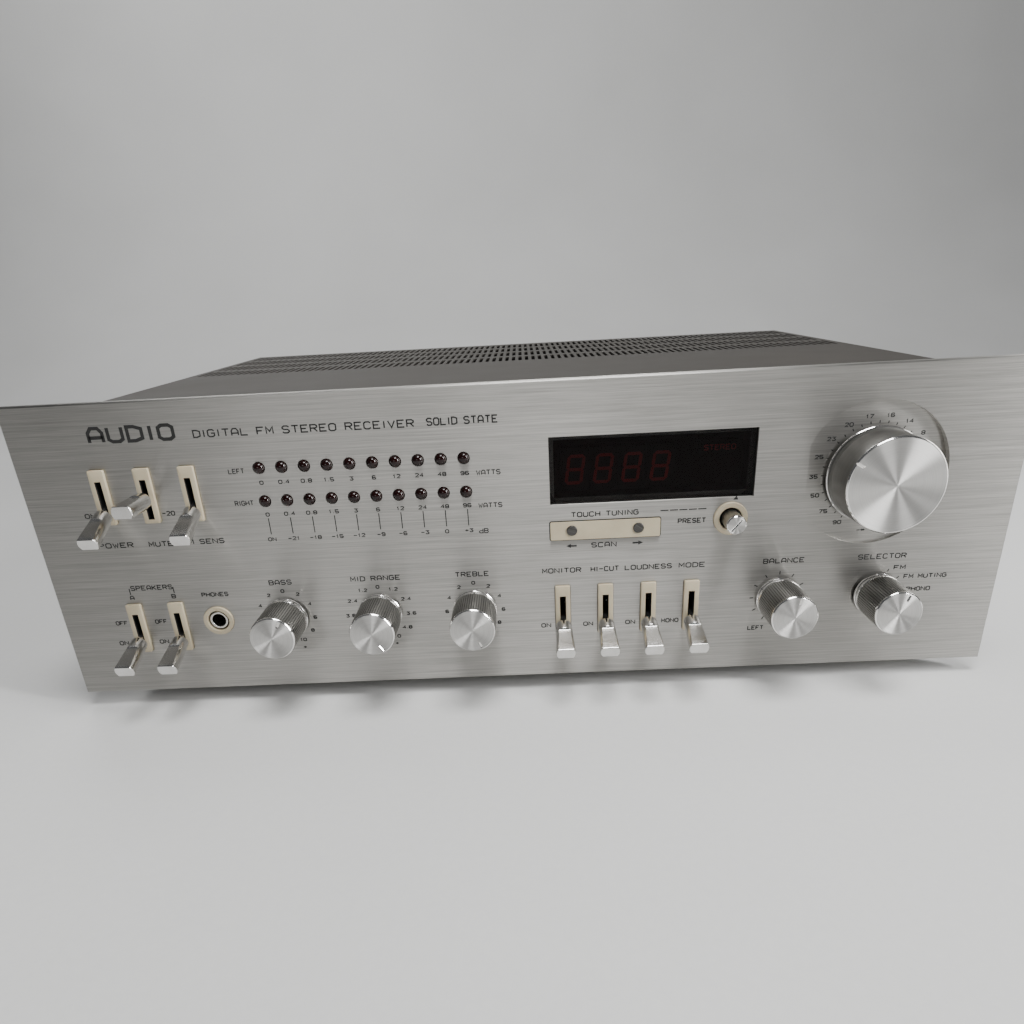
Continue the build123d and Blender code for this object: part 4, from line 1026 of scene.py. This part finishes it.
# power meter scales
METER_WATTS = ("0", "0.4", "0.8", "1.5", "3", "6", "12", "24", "48", "96")
METER_LEVELS = ("ON", "-21", "-18", "-15", "-12", "-9", "-6", "-3", "0", "+3")
meter = (word("LEFT", -125.6, -118.8, 108, 1.95) + word("RIGHT", -125.6, -117.4, 93.5, 1.95)
         + word("WATTS", -16.8, -6.5, 102.3, 1.95) + word("WATTS", -16.8, -6.5, 87.4, 1.95)
         + word("dB", -17.4, -13.4, 75.6, 1.95))
for x, watts, level in zip(LAMP_COLUMNS, METER_WATTS, METER_LEVELS):
    x = x / MM
    meter += numeral(watts, x, 102.4) + numeral(watts, x, 87.8) + numeral(level, x, 76.1)
    meter.append([(x, 86.0), (x, 78.4)])
print_ink("meter_scale", meter, black_ink, pen=0.44)

# tuning legends, and a black line round the touch plate that is painted shade in its gap
tuning = (word("TOUCH TUNING", 24.3, 54.1, 81.1, 2.05) + word("SCAN", 33.3, 44.4, 66.4, 2.05)
          + word("PRESET", 72.1, 84.3, 75.9, 1.95))
tuning += [[(64.0 + 4.2 * dash, 81.2), (67.6 + 4.2 * dash, 81.2)] for dash in range(5)]
plate_low, plate_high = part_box("touch_plate")
plate_x = (plate_low.x + plate_high.x) / 2 / MM
plate_z = ((plate_low.z + plate_high.z) / 2 - FOOT_Z) / MM
plate_w = (plate_high.x - plate_low.x) / MM
plate_h = (plate_high.z - plate_low.z) / MM
# painted shade: a black ink line round the touch plate stands for the shadowed gap between plate
# and fascia
plate_gap_shade_line = rounded_loop(plate_x, plate_z, plate_w + 0.5, plate_h + 0.5, 0.8)
tuning.append(plate_gap_shade_line + plate_gap_shade_line[:1])
print_ink("tuning_words_and_gap_shade", tuning, black_ink)


def print_shapes(name, outlines):
    """Solid printed shapes on the fascia."""
    bm = bmesh.new()
    for outline in outlines:
        prism(bm, [(x * MM, FOOT_Z + z * MM) for x, z in outline],
              FASCIA_Y - INK_T, FASCIA_Y + INK_SUNK)
    return mount_piece(name, settle(bm, name), [black_ink], "case")


def scan_arrow(tip, tail, z):
    """Arrow with a solid head, from its tail to its tip."""
    neck = tip + (tail - tip) * 0.45
    return [(tip, z), (neck, z + 1.0), (neck, z + 0.4), (tail, z + 0.4),
            (tail, z - 0.4), (neck, z - 0.4), (neck, z - 1.0)]


print_shapes("scan_arrows", [scan_arrow(21.7, 26.5, 66.4), scan_arrow(56.6, 51.8, 66.6),
                             [(96.0, 84.7), (98.2, 84.7), (97.4, 86.6)]])

# tone, balance and selector dials
BASS, MID, TREBLE, BALANCE, SELECTOR = (
    ((control_centre(f"{knob}_knob").x) / MM, (control_centre(f"{knob}_knob").z - FOOT_Z) / MM)
    for knob in ("bass", "mid", "treble", "balance", "selector"))


def dial_spot(centre, radius, turn):
    """Point on a dial, clockwise from the top in degrees."""
    return centre[0] + radius * sin(radians(turn)), centre[1] + radius * cos(radians(turn))


dials = (word("BASS", -117.5, -107.1, 54.8, 2.1) + word("MID RANGE", -79, -56, 54.8, 2.1)
         + word("TREBLE", -30, -14.6, 54.8, 2.1) + word("BALANCE", 112, 130.4, 54.7, 2.1)
         + word("SELECTOR", 155, 176.5, 54.7, 2.1) + word("FM", 172, 177, 48.9, 1.8)
         + word("FM MUTING", 177.2, 196.4, 44.2, 1.8) + word("PHONO", 179.4, 190.0, 37.8, 1.8)
         + word("AUX", 178.6, 185.2, 31.4, 1.8)
         + word("LEFT", 107.4, 114.6, 21, 1.8) + word("RIGHT", 125.2, 133.8, 21, 1.8))
TICK_START = 11.3
NUMBER_REACH = 13.4
NUMBER_TURN = 31
TONE_STEPS = ("0", "2", "4", "6", "8", "10")
MID_STEPS = ("0", "1.2", "2.4", "3.6", "4.8", "6.0")
for centre, steps in ((BASS, TONE_STEPS), (MID, MID_STEPS), (TREBLE, TONE_STEPS)):
    for index, label in enumerate(steps):
        for side in ((1,) if index == 0 else (1, -1)):
            turn = NUMBER_TURN * index
            reach = NUMBER_REACH + 0.55 * (len(label) - 1) * abs(sin(radians(turn)))
            dials += numeral(label, *dial_spot(centre, reach, side * turn), cap=1.4)
    dials += numeral("+", centre[0] + 6, centre[1] - 16.4, 1.5)
    dials += numeral("-", centre[0] - 6, centre[1] - 16.4, 1.5)
for step in range(-5, 6):
    dials.append([dial_spot(BALANCE, TICK_START, 30 * step), dial_spot(BALANCE, 13.0, 30 * step)])
for step in range(4):
    turn = 22 + 30 * step
    dials.append([dial_spot(SELECTOR, TICK_START, turn), dial_spot(SELECTOR, 12.6, turn)])
print_ink("dial_words", dials, black_ink)

# volume dial, printed on the tilted floor of its dish
DISH_EDGE = 127.5
DISH_RIM = 156.2 + 33.0
DISH_DEPTH = 3.0
VOLUME = (control_centre("volume_knob").x / MM, (control_centre("volume_knob").z - FOOT_Z) / MM)


def dish_point(x, z, lift):
    """Point on the tilted floor of the volume dish."""
    sunk = max(0.0, (x - DISH_EDGE) / (DISH_RIM - DISH_EDGE)) * DISH_DEPTH * MM
    return (x * MM, FASCIA_Y + sunk - lift, FOOT_Z + z * MM)


def dial_number_spot(turn):
    """Place of a number round the volume dial."""
    return VOLUME[0] + 26.0 * sin(radians(turn)), VOLUME[1] + 25.0 * cos(radians(turn))


MUTE_SHIFT = (2.7, -1.4)    # the last mark stands nearer the foot of the scale
VOLUME_STEPS = ("14", "16", "17", "20", "23", "25", "35", "50", "75", "90", "-~")
volume_scale = []
for index, label in enumerate(VOLUME_STEPS):
    x, z = dial_number_spot(29.6 - 20 * index)
    if label == VOLUME_STEPS[-1]:
        x, z = x + MUTE_SHIFT[0], z + MUTE_SHIFT[1]
    volume_scale += numeral(label, x, z)
for index, label in enumerate(("8", "6", "4", "2", "1", "0")):
    volume_scale += numeral(label, *dial_number_spot(49 + 20 * index))
for tick in range(31):
    turn = -150 + 10 * tick
    volume_scale.append([dial_spot(VOLUME, 21.6, turn), dial_spot(VOLUME, 22.7, turn)])
print_ink("volume_scale", volume_scale, black_ink, surface=dish_point, pen=0.46)

# stereo legend behind the display window, in dark red
print_ink("stereo_legend", word("STEREO", 83.6, 97.2, 107, 2.1), segment_finish,
          surface=lambda x, z, lift: (x * MM, MODULE_FACE - lift, FOOT_Z + z * MM))

# rear legends, in white
white_ink = finish(
    "white_screen_ink", mottle, cloud_scale=300.0, grain_scale=4000.0,
    colours=((0.55, 0.54, 0.51), (0.75, 0.74, 0.70)),
    roughness=(0.45, 0.6))
rear_words = (
    word("SPEAKERS A", -159, -131, 86, 2.6) + word("SPEAKERS B", -109, -81, 86, 2.6)
    + word("FM AERIAL", 108, 132, 111, 2.6) + word("PHONO", -13.5, -4.0, 86.5, 2.2)
    + word("AUX", 7.5, 13.5, 86.5, 2.2) + word("PLAY", 25.5, 33.5, 86.5, 2.2)
    + word("REC", 45.5, 51.5, 86.5, 2.2) + word("EARTH", 60.5, 71.5, 73.0, 2.2)
    + word("FUSE", 155.5, 164.5, 52.5, 2.4) + word("L", 1.8 - 17, 3.2 - 17, 71.5, 2.2)
    + word("R", 1.0 - 17, 3.4 - 17, 52.5, 2.2))
for strip in (-145, -95, 120):
    for index in range(4):
        rear_words += numeral("+" if index % 2 else "-", strip - 16.5 + 11 * index,
                              57 if strip < 0 else 82, 2.2)
print_ink("rear_words", rear_words, white_ink, surface=rear_point)


# ---------------------------------------------------------------------------
# Floor, lights and camera
# Plain pale sheet that rises behind the receiver in one curve. A tall soft box
# at the right, one overhead, and weak light on the front and on the backdrop.
# ---------------------------------------------------------------------------

floor_finish = finish(
    "pale_floor", mottle, cloud_scale=3.0, grain_scale=300.0, bump=0.05,
    colours=((0.60, 0.60, 0.59), (0.66, 0.66, 0.65)),
    roughness=(0.6, 0.75))
FLOOR_HALF = 5.0
WALL_Y = 1.9
WALL_TOP = 4.0
SWEEP_R = 0.9
SWEEP_STEPS = 12
profile = [(-FLOOR_HALF, 0.0)]
for step in range(SWEEP_STEPS + 1):
    turn = pi / 2 * step / SWEEP_STEPS
    profile.append((WALL_Y - SWEEP_R + SWEEP_R * sin(turn), SWEEP_R - SWEEP_R * cos(turn)))
profile.append((WALL_Y, WALL_TOP))
bm = bmesh.new()
sides = [[bm.verts.new((side * FLOOR_HALF, y, z)) for y, z in profile] for side in (-1, 1)]
for step in range(len(profile) - 1):
    bm.faces.new((sides[0][step], sides[1][step], sides[1][step + 1], sides[0][step + 1]))
mesh = bpy.data.meshes.new("floor")
bm.to_mesh(mesh)
bm.free()
mesh.materials.append(floor_finish)
mesh.shade_smooth()
floor = bpy.data.objects.new("floor", mesh)
bpy.context.scene.collection.objects.link(floor)

world = bpy.data.worlds.new("studio")
bpy.context.scene.world = world
world.use_nodes = True
world.node_tree.nodes["Background"].inputs["Color"].default_value = (0.80, 0.82, 0.85, 1)
world.node_tree.nodes["Background"].inputs["Strength"].default_value = 0.12


def soft_light(name, location, aim, width, height, power):
    """Rectangular soft box that points from its place at a target."""
    light = bpy.data.lights.new(name, "AREA")
    light.shape = "RECTANGLE"
    light.size = width
    light.size_y = height
    light.energy = power
    lamp = bpy.data.objects.new(name, light)
    bpy.context.scene.collection.objects.link(lamp)
    lamp.location = location
    lamp.rotation_euler = (Vector(aim) - Vector(location)).to_track_quat("-Z", "Y").to_euler()


soft_light("window_right", (1.15, -0.62, 0.62), (0.05, FASCIA_Y, 0.08), 0.14, 0.8, 25)
soft_light("overhead_box", (0.12, -0.42, 1.3), (0, -0.08, 0.05), 0.55, 0.4, 15)
soft_light("front_fill", (-0.5, -1.7, 0.55), (0, FASCIA_Y, 0.05), 0.6, 0.3, 2.5)
soft_light("backdrop_wash", (-0.8, 0.9, 1.6), (0, 1.5, 0.4), 1.4, 0.6, 14)

camera_data = bpy.data.cameras.new("camera")
camera_data.sensor_width = 36.0
camera_data.lens = 25.24
camera_data.shift_y = 0.0825
camera_data.clip_start = 0.01
camera = bpy.data.objects.new("camera", camera_data)
bpy.context.scene.collection.objects.link(camera)
CAMERA_RIGHT, CAMERA_BACK, CAMERA_UP = 5.2 * MM, 309.8 * MM, 176.5 * MM
camera.location = (CAMERA_RIGHT, FASCIA_Y - CAMERA_BACK, FOOT_Z + CAMERA_UP)
CAMERA_TILT, CAMERA_ROLL, CAMERA_PAN = 66.6, 2.9, 0.5
camera.rotation_euler = Euler((radians(CAMERA_TILT), radians(CAMERA_ROLL), radians(CAMERA_PAN)))
bpy.context.scene.camera = camera
